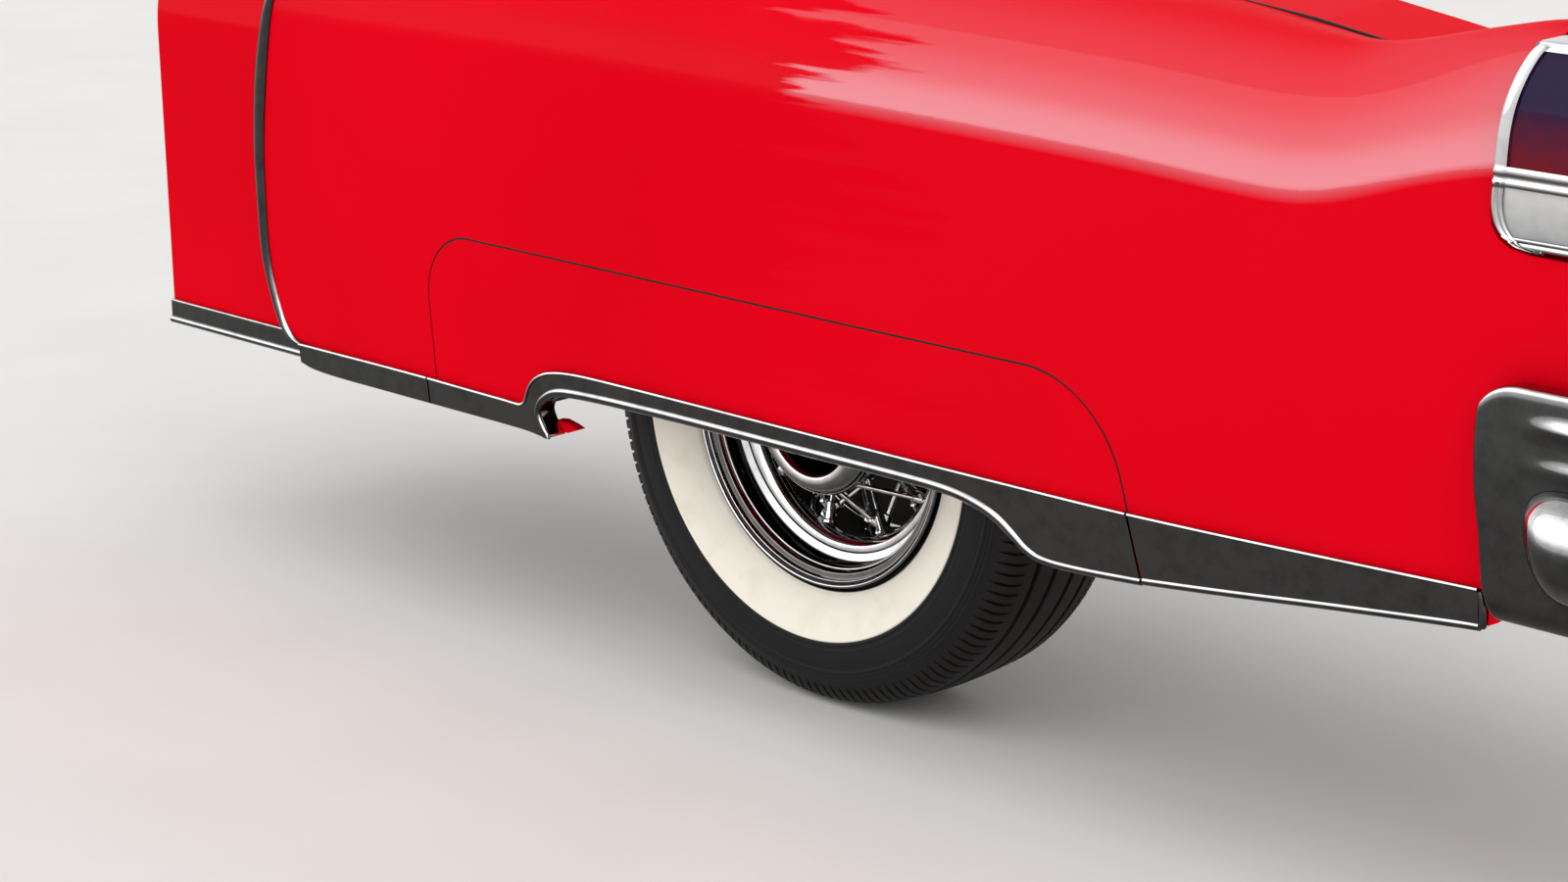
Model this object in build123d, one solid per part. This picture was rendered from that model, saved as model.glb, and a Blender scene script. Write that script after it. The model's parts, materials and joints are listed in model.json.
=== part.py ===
from build123d import *
from math import asin, cos, hypot, radians, sin
import os

# Left rear quarter of a 1950s convertible, in millimetres.
# +X points to the back of the car, +Y to its centre line, +Z up.
# The origin is the centre of the axle tube's inner end, on the wheel's own axis.
os.makedirs("parts", exist_ok=True)

# Clearances
seat_gap = 0.3
moving_gap = 5.0
bearing_gap = 0.05

# Wheel and tyre
wheel_mid_y = -600.0
tyre_radius = 362.5
tyre_half_width = 109.0
tyre_wall = 11.0
bead_radius = 190.5
flange_radius = 211.0
rim_half_width = 76.0
flange_lip = 4.0
well_radius = 166.0
whitewall_radius = 274.0
spoke_radius = 2.6
nipple_radius = 4.6
nipple_length = 17.0
spokes_per_row = 10
hub_radius = 88.0
hub_wall = 6.0
hub_outer_y = -68.0
stud_circle_radius = 63.5
stud_radius = 6.5
stud_count = 5

# Axle, brake and spring
tube_radius = 38.0
tube_wall = 6.0
spigot_radius = 36.5
spigot_length = 60.0
shaft_radius = 17.0
drum_radius = 163.0
drum_wall = 6.0
drum_face_y = wheel_mid_y + 40.0
drum_depth = 66.0
backing_radius = 154.0
backing_wall = 3.0
leaf_width = 64.0
leaf_thickness = 7.0
leaf_radius = 4500.0
leaf_half_lengths = (670.0, 600.0, 490.0, 380.0, 270.0, 170.0)
spring_mid_y = -360.0
eye_radius = 20.0
eye_bore = 9.0

# Frame rail
rail_mid_y = -280.0
rail_width = 80.0
rail_height = 110.0
rail_wall = 4.0
rail_front_x = -1240.0
rail_low_z = -10.0
rail_kick_z = 205.0
rail_tail_z = 60.0
rail_rear_x = 1300.0

# Sheet metal
panel_wall = 4.0
fender_side_y = -805.0
fender_front_x = -950.0
fender_tail_x = 1330.0
welt_y = -615.0
fender_low_z = -120.0
flange_depth = 40.0
welt_depth = 14.0
welt_width = 3.4
body_side_y = -760.0
door_gap_x = -1243.0
pillar_top_z = 536.0
sill_low_z = -72.0
house_radius = 455.0
house_inner_y = -450.0
floor_wall = 3.0

# Fender sections: place along the car, side, crest across, crest height, welt across, welt height
fender_stations = (
    (fender_front_x, fender_side_y, -715.0, 560.0, welt_y, 548.0),
    (-400.0, fender_side_y, -712.0, 566.0, welt_y, 558.0),
    (150.0, fender_side_y, -700.0, 564.0, welt_y, 568.0),
    (550.0, fender_side_y + 3.0, -690.0, 558.0, welt_y, 570.0),
    (700.0, fender_side_y + 9.0, -680.0, 551.0, welt_y, 555.0),
    (800.0, fender_side_y + 16.0, -674.0, 547.0, welt_y, 540.0),
    (880.0, fender_side_y + 22.0, -686.0, 559.0, -626.0, 527.0),
    (960.0, fender_side_y + 28.0, -697.0, 577.0, -640.0, 514.0),
    (1070.0, fender_side_y + 37.0, -712.0, 590.0, -664.0, 502.0),
    (1200.0, fender_side_y + 46.0, -710.0, 540.0, -668.0, 460.0),
    (fender_tail_x, fender_side_y + 66.0, -704.0, 296.0, -668.0, 270.0),
)
shoulder_drop = 125.0
shoulder_inset = 12.0

# Skirt and mouldings, as seen from the side
skirt_front_x = -604.0
skirt_rear_x = 566.0
skirt_top_z = 172.0
skirt_front_radius = 85.0
skirt_rear_radius = 150.0
skirt_gap = 3.0
moulding_proud = 9.0
opening_top_z = 0.0
opening_front_x = -373.0
opening_rear_x = 459.0
moulding_top_z = 32.0
moulding_front_top_z = -26.0
moulding_front_low_z = -62.0
moulding_rear_low_z = -52.0
moulding_end_x = 1056.0
strip_proud = 7.0
strip_front_line = [(-918, -20), (-937, 17), (-958, 83), (-963, 151), (-967, 232), (-964, 314), (-955, 375),
                    (-939, 436), (-914, 500), (-884, 560), (-876, 620)]
strip_rear_line = [(-856, 620), (-862, 560), (-893, 500), (-919, 438), (-937, 317), (-944, 232), (-944, 181),
                   (-938, 72), (-911, 1), (-884, -20)]

# Lamp
lamp_mid_y = -718.0
lamp_half_width = 50.0
lamp_low_z = 380.0
lamp_top_z = 592.0
lamp_front_top_x = 1076.0
lamp_front_line = [(1067, 575), (1058, 555), (1050, 530), (1045.5, 505), (1043, 480), (1041, 458), (1037, 441),
                   (1036, 422), (1039, 405), (1047, 393), (1060, 385)]
lamp_split_low_z = 451.0
lamp_split_high_z = 463.0
lamp_pivot = (1090.0, 582.0)
lamp_pin_radius = 3.5
lamp_pin_boss = 8.5
lens_wall = 3.0

# Bumper
bumper_front_x = 1053.0
bumper_rear_x = 1500.0
bumper_side_y = -800.0
bumper_inner_y = -330.0
bumper_low_z = 6.0
bumper_top_z = 259.0
bumper_lip = 24.0
bumper_wall = 4.0
bumper_bend = 130.0
pod_radius = 62.0
pod_wall = 4.0
pod_nose_x = 1116.0
pod_z = 107.0
pod_nose_length = 75.0
pipe_radius = 22.0
pipe_wall = 2.0

written = []


def save(shape, name):
    shape.label = name
    export_step(shape, f"parts/{name}.step")
    written.append(name)


def box(x, y, z):
    """A box from its low and high values along each axis."""
    size = [b - a for a, b in (x, y, z)]
    middle = [(a + b) / 2 for a, b in (x, y, z)]
    return Pos(*middle) * Box(*size)


def across(outline, y_low, y_high):
    """A side-view outline of x, z points, extruded across the car."""
    face = make_face(Polyline(*[(x, y_low, z) for x, z in outline], close=True))
    return extrude(face, amount=y_high - y_low, dir=(0, 1, 0))


def rod(start, end, radius):
    line = Line(start, end)
    return sweep(Plane(origin=start, z_dir=line % 0) * Circle(radius), path=line)


def turned(profile):
    """A ring or disc from y, radius points, turned about the wheel axis."""
    face = make_face(Polyline(*[(0, y, r) for y, r in profile], close=True))
    return revolve(face, axis=Axis.Y)


def section(x, points):
    return Polyline(*[(x, y, z) for y, z in points], close=True)


# Fender skin

def fender_outline(station, grow, low_z):
    x, side, crest_y, crest_z, inner_y, inner_z = station
    foot = (x, side - grow, low_z)
    waist = (x, side - grow, 100)
    shoulder = (x, side + shoulder_inset - grow, crest_z - shoulder_drop)
    crest = (x, crest_y - 0.56 * grow, crest_z + 0.83 * grow)
    welt = (x, inner_y + grow, inner_z + grow)
    side_arc = TangentArc(waist, shoulder, tangent=(0, 0, 1))
    shoulder_arc = TangentArc(shoulder, crest, tangent=side_arc % 1)
    top_arc = TangentArc(crest, welt, tangent=shoulder_arc % 1)
    lower_line = Line(foot, waist)
    inner_line = Polyline(welt, (x, inner_y + grow, low_z), foot)
    return make_face([lower_line, side_arc, shoulder_arc, top_arc, inner_line])


def slope(index, column):
    """Slope of a station column at a station, flat at both ends and where the column turns."""
    if index in (0, len(fender_stations) - 1):
        return 0.0
    before, here, after = fender_stations[index - 1:index + 2]
    behind = (here[column] - before[column]) / (here[0] - before[0])
    ahead = (after[column] - here[column]) / (after[0] - here[0])
    return 2 * behind * ahead / (behind + ahead) if behind * ahead > 0 else 0.0


def station_value(x, column):
    """Value of a station column at a place along the car, on a smooth curve through the table."""
    if x <= fender_stations[0][0]:
        return fender_stations[0][column]
    for index, (a, b) in enumerate(zip(fender_stations, fender_stations[1:])):
        if x <= b[0]:
            run = b[0] - a[0]
            t = (x - a[0]) / run
            low = (1 + 2 * t) * (1 - t) ** 2 * a[column] + t * (1 - t) ** 2 * run * slope(index, column)
            high = t * t * (3 - 2 * t) * b[column] - t * t * (1 - t) * run * slope(index + 1, column)
            return low + high
    return fender_stations[-1][column]


def fender_station(x):
    return (x,) + tuple(station_value(x, column) for column in range(1, 6))


fender_places = (fender_front_x, -675.0, -400.0, -125.0, 150.0, 350.0, 550.0, 700.0, 800.0, 880.0, 960.0,
                 1015.0, 1070.0, 1135.0, 1200.0, 1265.0, fender_tail_x)


def fender_form(grow, low_z, front_trim=0.0, rear_trim=0.0):
    places = list(fender_places)
    places[0] += front_trim
    places[-1] -= rear_trim
    return loft([fender_outline(fender_station(x), grow, low_z) for x in places], ruled=True)


def pillar_section(x, grow):
    """Outer form of the body side ahead of the fender."""
    outer = body_side_y - grow
    top = pillar_top_z + grow
    waist = (x, outer, 360)
    turn = (x, outer + 60, top - 14)
    inner = (x, welt_y - seat_gap, top)
    arc = TangentArc(waist, turn, tangent=(0, 0, 1))
    rest = Polyline(turn, inner, (x, welt_y - seat_gap, sill_low_z), (x, outer, sill_low_z), waist)
    return make_face([arc, rest])


outer_form = fender_form(0.0, fender_low_z)
inner_form = fender_form(-panel_wall, fender_low_z - 20, panel_wall, panel_wall)
pillar_hole = extrude(pillar_section(door_gap_x, 0.5), amount=400, dir=(1, 0, 0))

skirt_back = 40.0
skirt_lean = 28.0
skirt_rear_lean = 91.0


def rounded_at(prism, x, z, radius):
    """Round the upright edge of a side-view prism that lies nearest to a point."""
    edges = prism.edges().filter_by(Axis.Y)
    nearest = min(edges, key=lambda edge: hypot(edge.center().X - x, edge.center().Z - z))
    return fillet(nearest, radius)


def skirt_prism(shrink):
    """Side outline of the skirt, drawn in by a gap, with its two upper corners rounded."""
    front, rear, top = skirt_front_x + shrink, skirt_rear_x - shrink, skirt_top_z - shrink
    points = [(front + skirt_lean, fender_low_z - 30), (front, top), (rear, top),
              (rear + skirt_rear_lean, fender_low_z - 30)]
    prism = across(points, fender_side_y - 30, fender_side_y + skirt_back)
    prism = rounded_at(prism, rear, top, skirt_rear_radius - shrink)
    return rounded_at(prism, front, top, skirt_front_radius - shrink)


opening_curl = [(opening_front_x + 20, -66), (opening_front_x + 12, -56), (opening_front_x + 3, -43),
                (opening_front_x, -34), (opening_front_x + 6, -24), (opening_front_x + 18, -14),
                (opening_front_x + 31, -8), (opening_front_x + 47, -4), (opening_front_x + 73, opening_top_z)]
opening_outline = [(opening_front_x + 20, -120)] + opening_curl
opening_outline += [(opening_rear_x - 150, opening_top_z),
                   (opening_rear_x - 72, -9), (opening_rear_x - 28, -30),
                   (opening_rear_x, moulding_rear_low_z), (opening_rear_x + 20, -120)]
opening = across(opening_outline, fender_side_y - 60, fender_side_y + 60)


def lower_edge(drop):
    """Everything under the line that the lower mouldings hide."""
    line = [(-1000, moulding_front_low_z + 16 - drop), (skirt_front_x, moulding_front_low_z - drop),
            (opening_front_x, moulding_front_low_z - drop), (opening_rear_x, moulding_rear_low_z - drop),
            (660, -46 - drop), (860, -27 - drop), (1056, -5 - drop), (1400, 20 - drop)]
    return across(line + [(1400, -200), (-1000, -200)], fender_side_y - 60, welt_y + 40)


lamp_notch_line = [(lamp_front_top_x - moving_gap + 4, 680), (lamp_front_top_x, lamp_top_z + 2)] + lamp_front_line
lamp_notch_line += [(1085, lamp_low_z + 0.5), (1196, lamp_low_z - 4), (1400, 180), (1400, 680)]
lamp_notch = across(lamp_notch_line, fender_side_y - 60, welt_y + 60)
seat_line = [(x - panel_wall, z - panel_wall) for x, z in lamp_notch_line]
seat_slab = across(seat_line, fender_side_y - 60, welt_y + 60) - lamp_notch

skin = outer_form - inner_form
straight_places = [x for x in fender_places if x <= 800]
flange_line = [(x, station_value(x, 5) - flange_depth) for x in straight_places]
flange_line[0] = (flange_line[0][0] - 20, flange_line[0][1])
flange_cut = across(flange_line + [(800, -200), (-970, -200)], welt_y - 30, welt_y + 30)
neck_centre = (1044.5, lamp_mid_y + 2, 500.0)
neck_radius = 27.0
neck_axis = (0.9914, 0, -0.1305)
neck_plane = Plane(origin=neck_centre, z_dir=neck_axis)
neck_hole = extrude(neck_plane * Circle(neck_radius + seat_gap), amount=40, both=True)

shell = skin - flange_cut - pillar_hole - lamp_notch + (outer_form & seat_slab) - neck_hole
fender = shell - skirt_prism(0) - lower_edge(-6)
bottom_corner = across([(-1000, -120), (-868, -120), (-868, -34), (-905, -22), (-930, 4),
                        (-944, 40), (-1000, 40)], fender_side_y - 60, body_side_y + 5)
front_edge = [(x + 2, z) for x, z in strip_front_line]
fender = fender - bottom_corner - across([(-1000, -20)] + front_edge + [(-1000, 620)], fender_side_y - 60, welt_y + 60)
save(fender, "rear_fender")

skirt = (skin & skirt_prism(skirt_gap)) - opening - lower_edge(-6)
save(skirt, "wheel_skirt")

# Lower mouldings, fitted to the fender side

moulding_outline = [(-884, moulding_front_top_z - 22), (-872, moulding_front_top_z),
                    (-412, moulding_front_top_z - 3), (-400, -27), (-394, -18), (-391, -7), (-385, 2), (-373, 12),
                    (-357, 20), (-342, 24), (-308, moulding_top_z - 3), (-270, moulding_top_z - 1),
                    (0, moulding_top_z), (moulding_end_x, moulding_top_z),
                    (moulding_end_x, 4), (moulding_end_x - 8, -8), (860, -27), (660, -46),
                    (opening_rear_x, moulding_rear_low_z), (opening_rear_x - 28, -30),
                    (opening_rear_x - 72, -9), (opening_rear_x - 150, opening_top_z)]
moulding_outline += opening_curl[:0:-1]
moulding_outline += [(opening_front_x + 19, moulding_front_low_z - 2), (opening_front_x + 9, moulding_front_low_z),
                     (skirt_front_x + 40, moulding_front_low_z), (-868, moulding_front_low_z + 14)]
moulding_prism = across(moulding_outline, fender_side_y - 40, fender_side_y + 60)
moulding_form = fender_form(moulding_proud, fender_low_z - 40)
band = (moulding_form & moulding_prism) - outer_form
band = band & box((-1000, 1200), (fender_side_y - 40, fender_side_y + 60), (-120, 90))
skirt_band = band & skirt_prism(skirt_gap)
outside_band = band - skirt_prism(0)
front_band = outside_band & box((-1000, 0), (-900, -700), (-200, 200))
rear_band = outside_band & box((0, 1200), (-900, -700), (-200, 200))
save(skirt_band, "skirt_moulding")
save(front_band, "front_lower_moulding")
save(rear_band, "rear_lower_moulding")

# Upright chrome strip on the fender's leading edge

strip_form = fender_form(strip_proud, fender_low_z, -strip_proud - 13) - outer_form
strip = (strip_form & across(strip_front_line + strip_rear_line, fender_side_y - 40, -712)) - pillar_hole
save(strip, "leading_edge_strip")

# Body side ahead of the fender, with its door jamb

pillar_length = 360.0
pillar = extrude(pillar_section(door_gap_x, 0), amount=pillar_length, dir=(1, 0, 0))
pillar_inside = extrude(pillar_section(door_gap_x + panel_wall, -panel_wall), amount=pillar_length,
                        dir=(1, 0, 0))
pillar = pillar - pillar_inside - box((door_gap_x + panel_wall, 0), (welt_y - 30, welt_y + 10), (-100, 520))
pillar = pillar - box((door_gap_x - 10, 0), (-756, welt_y + 10), (-100, 46))
save(pillar, "lock_pillar_panel")

sill_moulding = box((door_gap_x, fender_front_x + 56), (body_side_y - 9, body_side_y), (-66, -31))
sill_moulding = fillet(sill_moulding.edges().filter_by(Axis.X).sort_by(Axis.Y)[:2], 8)
save(sill_moulding, "sill_moulding")

sill_outer_y = body_side_y + panel_wall + seat_gap
sill = box((door_gap_x, -470), (sill_outer_y, -640), (sill_low_z, 45))
sill = sill - box((door_gap_x - 10, -460), (sill_outer_y + panel_wall, -640 - panel_wall),
                  (sill_low_z + panel_wall, 45 - panel_wall))
save(sill, "sill_box")

# Body side behind the fender, wheelhouse and floor

quarter_top = [(x, station_value(x, 5) - welt_depth - 3) for x in straight_places]
quarter_top[0] = (door_gap_x, quarter_top[0][1])
quarter_side = across(quarter_top + [(800, 118), (440, 118), (440, 49), (-460, 49), (door_gap_x, 49)],
                      welt_y, welt_y + panel_wall)
house_cut = rod((0, welt_y - 20, 0), (0, welt_y + 20, 0), house_radius + seat_gap)
quarter_side = quarter_side - house_cut
save(quarter_side, "quarter_side_panel")

house_outer = rod((0, -820, 0), (0, house_inner_y, 0), house_radius)
house_inner = rod((0, -830, 0), (0, house_inner_y - panel_wall, 0), house_radius - panel_wall)
lining = fender_form(-(panel_wall + seat_gap), -200, 6, 6)
wheelhouse = (house_outer - house_inner) & box((-600, 600), (-830, 0), (49, 600))
wheelhouse = wheelhouse & lining
save(wheelhouse, "wheelhouse")

rail_line = [(rail_front_x, rail_low_z), (-700, rail_low_z), (-300, rail_kick_z), (320, rail_kick_z),
             (640, rail_tail_z), (rail_rear_x, rail_tail_z)]


def rail_outline(shift_up, shift_down, reach):
    """Closed side outline of a band that follows the rail's centre line."""
    upper = [(x, z + shift_up) for x, z in rail_line]
    lower = [(x, z - shift_down) for x, z in rail_line]
    upper[0], lower[0] = (rail_front_x - reach, upper[0][1]), (rail_front_x - reach, lower[0][1])
    upper[-1], lower[-1] = (rail_rear_x + reach, upper[-1][1]), (rail_rear_x + reach, lower[-1][1])
    return upper + lower[::-1]


rail = across(rail_outline(rail_height / 2, rail_height / 2, 0),
              rail_mid_y - rail_width / 2, rail_mid_y + rail_width / 2)
hollow = rail_height / 2 - rail_wall
rail = rail - across(rail_outline(hollow, hollow, 10), rail_mid_y - rail_width / 2 + rail_wall,
                     rail_mid_y + rail_width / 2 - rail_wall)
save(rail, "frame_rail")

floor_edge_y = house_inner_y
floor_inner_y = rail_mid_y + rail_width / 2
rail_top = rail_height / 2
floor = across(rail_outline(rail_top + floor_wall, -rail_top, -60), floor_edge_y, floor_inner_y)
front_floor = box((rail_front_x + 60, -470), (-700, floor_edge_y), (rail_low_z + rail_top,
                                                                    rail_low_z + rail_top + floor_wall))
boot_floor_z = rail_tail_z + rail_top
rear_floor = box((640, rail_rear_x - 100), (welt_y + panel_wall, floor_edge_y),
                 (boot_floor_z, boot_floor_z + floor_wall))
floor = floor + front_floor + rear_floor
save(floor, "floor_panel")

outrigger = box((-860, -800), (-640, rail_mid_y - rail_width / 2), (-60, 40))
outrigger = outrigger - box((-856, -790), (-630, 0), (-56, 36))
save(outrigger, "body_outrigger")

# Deck side, its gutter seal and the rubber welt beside the fender


deck_lip_y = -480.0
gutter_drop = 26.0
gutter_width = 26.0


def deck_section(x):
    """Down flange, crowned top and gutter of the body beside the boot lid."""
    outer_y = station_value(x, 4) + panel_wall
    z = station_value(x, 5) - 2
    lip = deck_lip_y
    points = [(outer_y, z - flange_depth), (outer_y, z), (lip, z + 10), (lip, z - gutter_drop),
              (lip + gutter_width, z - gutter_drop), (lip + gutter_width, z - gutter_drop - panel_wall),
              (lip - panel_wall, z - gutter_drop - panel_wall), (lip - panel_wall, z + 6),
              (outer_y + panel_wall, z - 4), (outer_y + panel_wall, z - flange_depth)]
    return make_face(section(x, points))


deck_places = (door_gap_x,) + fender_places[1:14] + (1196.0,)
seal_places = [x for x in deck_places if x >= 350]
deck_side = loft([deck_section(x) for x in deck_places], ruled=True)
save(deck_side, "deck_side_panel")


def welt_section(x):
    inner_y = station_value(x, 4) + seat_gap
    z = station_value(x, 5)
    return make_face(section(x, [(inner_y, z - welt_depth), (inner_y, z + 3), (inner_y + welt_width, z + 3),
                                 (inner_y + welt_width, z - welt_depth)]))


welt = loft([welt_section(x) for x in fender_places[:12]], ruled=True)
save(welt - outer_form, "fender_welt")


def seal_section(x):
    z = station_value(x, 5) - 2 - gutter_drop + seat_gap
    low, high = deck_lip_y + 4, deck_lip_y + gutter_width - 4
    return make_face(section(x, [(low, z), (high, z), (high - 3, z + 12), (low + 3, z + 12)]))


seal = loft([seal_section(x) for x in seal_places], ruled=True)
save(seal, "deck_seal")

tail_panel = box((1196, 1200), (-660, -240), (boot_floor_z + floor_wall, 300))
save(tail_panel, "tail_panel")

# Tail lamp, hinged over the fuel filler

lamp_stations = ((lamp_low_z + 2, 0.86, 150.0), (lamp_low_z + 60, 1.0, 172.0),
                 (lamp_top_z - 60, 1.0, 166.0), (lamp_top_z, 0.72, 128.0))


def lamp_form(grow):
    faces = []
    for z, breadth, reach in lamp_stations:
        half = lamp_half_width * breadth + grow
        front, rear = 1000.0, 1030.0 + reach + grow
        left, right = lamp_mid_y - half, lamp_mid_y + half
        straight = rear - half
        side_a = Line((front, left, z), (straight, left, z))
        nose = ThreePointArc((straight, left, z), (rear, lamp_mid_y, z), (straight, right, z))
        side_b = Polyline((straight, right, z), (front, right, z), (front, left, z))
        faces.append(make_face([side_a, nose, side_b]))
    return loft(faces)


pivot_x, pivot_z = lamp_pivot
g = moving_gap
lamp_side_line = [(pivot_x - 11, 584), (pivot_x - 6, lamp_top_z - 2.5), (pivot_x, lamp_top_z),
                  (1400, lamp_top_z + 40), (1400, lamp_low_z + g + 0.5), (1088, lamp_low_z + g + 0.5)]
lamp_side_line += [(1062.5, 390), (1051, 397), (1044, 407.5), (1041, 422.5), (1042, 440)]
lamp_side_line += [(x + g, z) for x, z in lamp_front_line[5::-1]]
lamp_zone = across(lamp_side_line, fender_side_y - 60, welt_y + 60)
lamp_solid = lamp_form(0) & lamp_zone
core_zone = box((900, 1400), (-900, -600), (lamp_low_z + g + lens_wall, lamp_top_z - lens_wall))
lamp_core = lamp_form(-lens_wall) & core_zone
lens_outer = lamp_form(-1.5) & lamp_zone
bezel_depth = 21.0
frame_line = [(x + bezel_depth, z) for x, z in lamp_notch_line]
behind_frame = across(frame_line, fender_side_y - 60, welt_y + 60)
bezel = (lamp_solid - lamp_core) - behind_frame
divider = (lamp_solid - lamp_core) & box((1000, 1300), (-900, -600), (lamp_split_low_z, lamp_split_high_z))
lower_rim = (lamp_solid - lamp_core) & box((1000, 1300), (-900, -600), (0, lamp_low_z + 14))
top_rim = (lamp_solid - lamp_core) & box((1000, 1300), (-900, -600), (lamp_top_z - 12, 700))
boss = rod((pivot_x, lamp_mid_y - 20, pivot_z), (pivot_x, lamp_mid_y + 20, pivot_z), lamp_pin_boss)
boss = boss & box((1000, 1300), (-900, -600), (pivot_z - 20, lamp_top_z - 2))
pin_hole = rod((pivot_x, lamp_mid_y - 30, pivot_z), (pivot_x, lamp_mid_y + 30, pivot_z),
               lamp_pin_radius + bearing_gap)
hinge_slot = box((1050, pivot_x + 14), (lamp_mid_y - 30, lamp_mid_y - 20), (558, 620))
hinge_slot = hinge_slot + box((1050, pivot_x + 14), (lamp_mid_y + 20, lamp_mid_y + 30), (558, 620))
back_line = [(x + bezel_depth - 4, z) for x, z in lamp_notch_line]
back_plate = (lamp_solid & across(back_line, fender_side_y - 60, welt_y + 60)) - behind_frame
bezel = bezel + divider + lower_rim + top_rim + boss + back_plate - pin_hole - hinge_slot
bezel = max(bezel.solids(), key=lambda solid: solid.volume)
save(bezel, "lamp_bezel")

lens_inside = lamp_form(-lens_wall - 1.5)
lens_line = [(x + bezel_depth + seat_gap, z) for x, z in lamp_notch_line]
lens_body = (lens_outer - lens_inside) & across(lens_line, fender_side_y - 60, welt_y + 60)
red_zone = box((1000, 1300), (-900, -600), (lamp_split_high_z + seat_gap, lamp_top_z - 12 - seat_gap))
clear_zone = box((1000, 1300), (-900, -600), (lamp_low_z + 14 + seat_gap, lamp_split_low_z - seat_gap))
save(lens_body & red_zone, "lamp_lens_red")
save(lens_body & clear_zone, "lamp_lens_clear")

hinge_pin = rod((pivot_x, lamp_mid_y - 27.5, pivot_z), (pivot_x, lamp_mid_y + 27.5, pivot_z), lamp_pin_radius)
hinge_ear = across([(lamp_front_top_x - 16, 564), (pivot_x + 6, 574), (pivot_x + 6, 588),
                    (pivot_x - 6, 590), (lamp_front_top_x - 16, 586)], -5, 0)
ears = Pos(0, lamp_mid_y - 22.5, 0) * hinge_ear + Pos(0, lamp_mid_y + 27.5, 0) * hinge_ear
save((hinge_pin + ears) & lamp_notch, "lamp_hinge_bracket")

neck_start = neck_plane.offset(-38)
neck = extrude(neck_start * Circle(neck_radius), amount=42)
neck = neck - extrude(neck_start * Circle(neck_radius - 2.5), amount=50)
save(neck, "fuel_filler_neck")

cap_plane = neck_plane.offset(4)
filler_cap = extrude(cap_plane * Circle(neck_radius + 3), amount=7)
filler_cap = filler_cap + extrude(cap_plane * Circle(neck_radius - 2.5 - seat_gap), amount=-9)
save(filler_cap, "fuel_filler_cap")

# Bumper end and its exhaust pod

bumper_path = FilletPolyline((bumper_front_x, bumper_side_y, 0), (bumper_rear_x - 6, bumper_side_y + 8, 0),
                             (bumper_rear_x, bumper_inner_y, 0), radius=bumper_bend)
# Face bar: outward from the path, height
face_bar = [(-bumper_lip, bumper_top_z - 1), (-8, bumper_top_z), (1, 250), (3, 238), (2, 230), (6, 222), (3, 214),
            (3, 190), (7, 182), (4, 174), (6, 120), (5, 40), (-3, 14), (-14, bumper_low_z), (-bumper_lip, bumper_low_z)]


bar_outer = [(bumper_front_x, bumper_side_y - n, z) for n, z in face_bar]
bar_inner = []
for n, z in face_bar:
    inset_z = z - bumper_wall if z > 200 and n < 0 else z + bumper_wall if z < 20 else z
    inset_n = n if n <= -bumper_lip else n - bumper_wall
    bar_inner.append((bumper_front_x, bumper_side_y - inset_n, inset_z))
bar_face = make_face(Polyline(*(bar_outer + bar_inner[::-1]), close=True))
bumper = sweep(bar_face, path=bumper_path)
front_edge_line = [(52, 259.5), (34, 257), (23, 253), (13, 246), (4, 236), (0, 220), (0, 194), (4, 145), (11, 105),
                   (16, 52), (25, 17), (36, 0)]
front_edge_line = [(bumper_front_x + x, z) for x, z in front_edge_line]
corner_cut = across([(bumper_front_x + 52, 300)] + front_edge_line + [(bumper_front_x - 20, 0),
                                                                     (bumper_front_x - 20, 300)], -900, -700)
pod_y = bumper_side_y + 14
pod_end_x = bumper_rear_x + 10


def pod_shape(radius, nose_x, end_x):
    """A blunt nose that runs into a straight tube, about the pod's axis, with its face leaning back at the foot."""
    nose_length = pod_nose_length * radius / pod_radius
    turns = [radians(angle) for angle in (0, 3, 10, 20, 32, 45, 58, 70, 80, 90)]
    line = [(nose_length * (1 - cos(a) ** (2 / 3)), radius * sin(a) ** (2 / 3)) for a in turns]
    end = end_x - nose_x
    outline = make_face(Polyline(*(line + [(end, radius), (end, 0)]), close=True))
    form = Pos(nose_x, pod_y, pod_z) * revolve(Plane.XZ * outline, axis=Axis.X)
    return form - across([(nose_x - 5, 141), (nose_x + 1, 141), (nose_x + 17, 45), (nose_x - 5, 45)], -900, -700)


bumper = bumper - corner_cut - pod_shape(pod_radius + seat_gap, pod_nose_x - seat_gap, pod_end_x + 20)
pod = pod_shape(pod_radius, pod_nose_x, pod_end_x)
pod = pod - pod_shape(pod_radius - pod_wall, pod_nose_x + pod_wall, pod_end_x + 30)
pod = pod - box((1000, 1385), (bumper_side_y + bumper_lip, -600), (-100, 300))

bar_z = (rail_tail_z - 30, rail_tail_z + 30)
rail_outer_y = rail_mid_y - rail_width / 2
arm = extrude(make_face(Polyline((1180, rail_outer_y, bar_z[0]), (1325, rail_outer_y, bar_z[0]),
                                 (bumper_rear_x - 22, -440, bar_z[0]), (bumper_rear_x + 4, -440, bar_z[0]),
                                 (bumper_rear_x + 4, -510, bar_z[0]), (bumper_rear_x - 8, -510, bar_z[0]),
                                 (bumper_rear_x - 8, -448, bar_z[0]), (bumper_rear_x - 28, -448, bar_z[0]),
                                 (1321, rail_outer_y - 8, bar_z[0]), (1180, rail_outer_y - 8, bar_z[0]),
                                 close=True)), amount=60, dir=(0, 0, 1))
arm = max((arm - bumper).solids(), key=lambda solid: solid.volume)
save(arm, "bumper_bracket")

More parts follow.
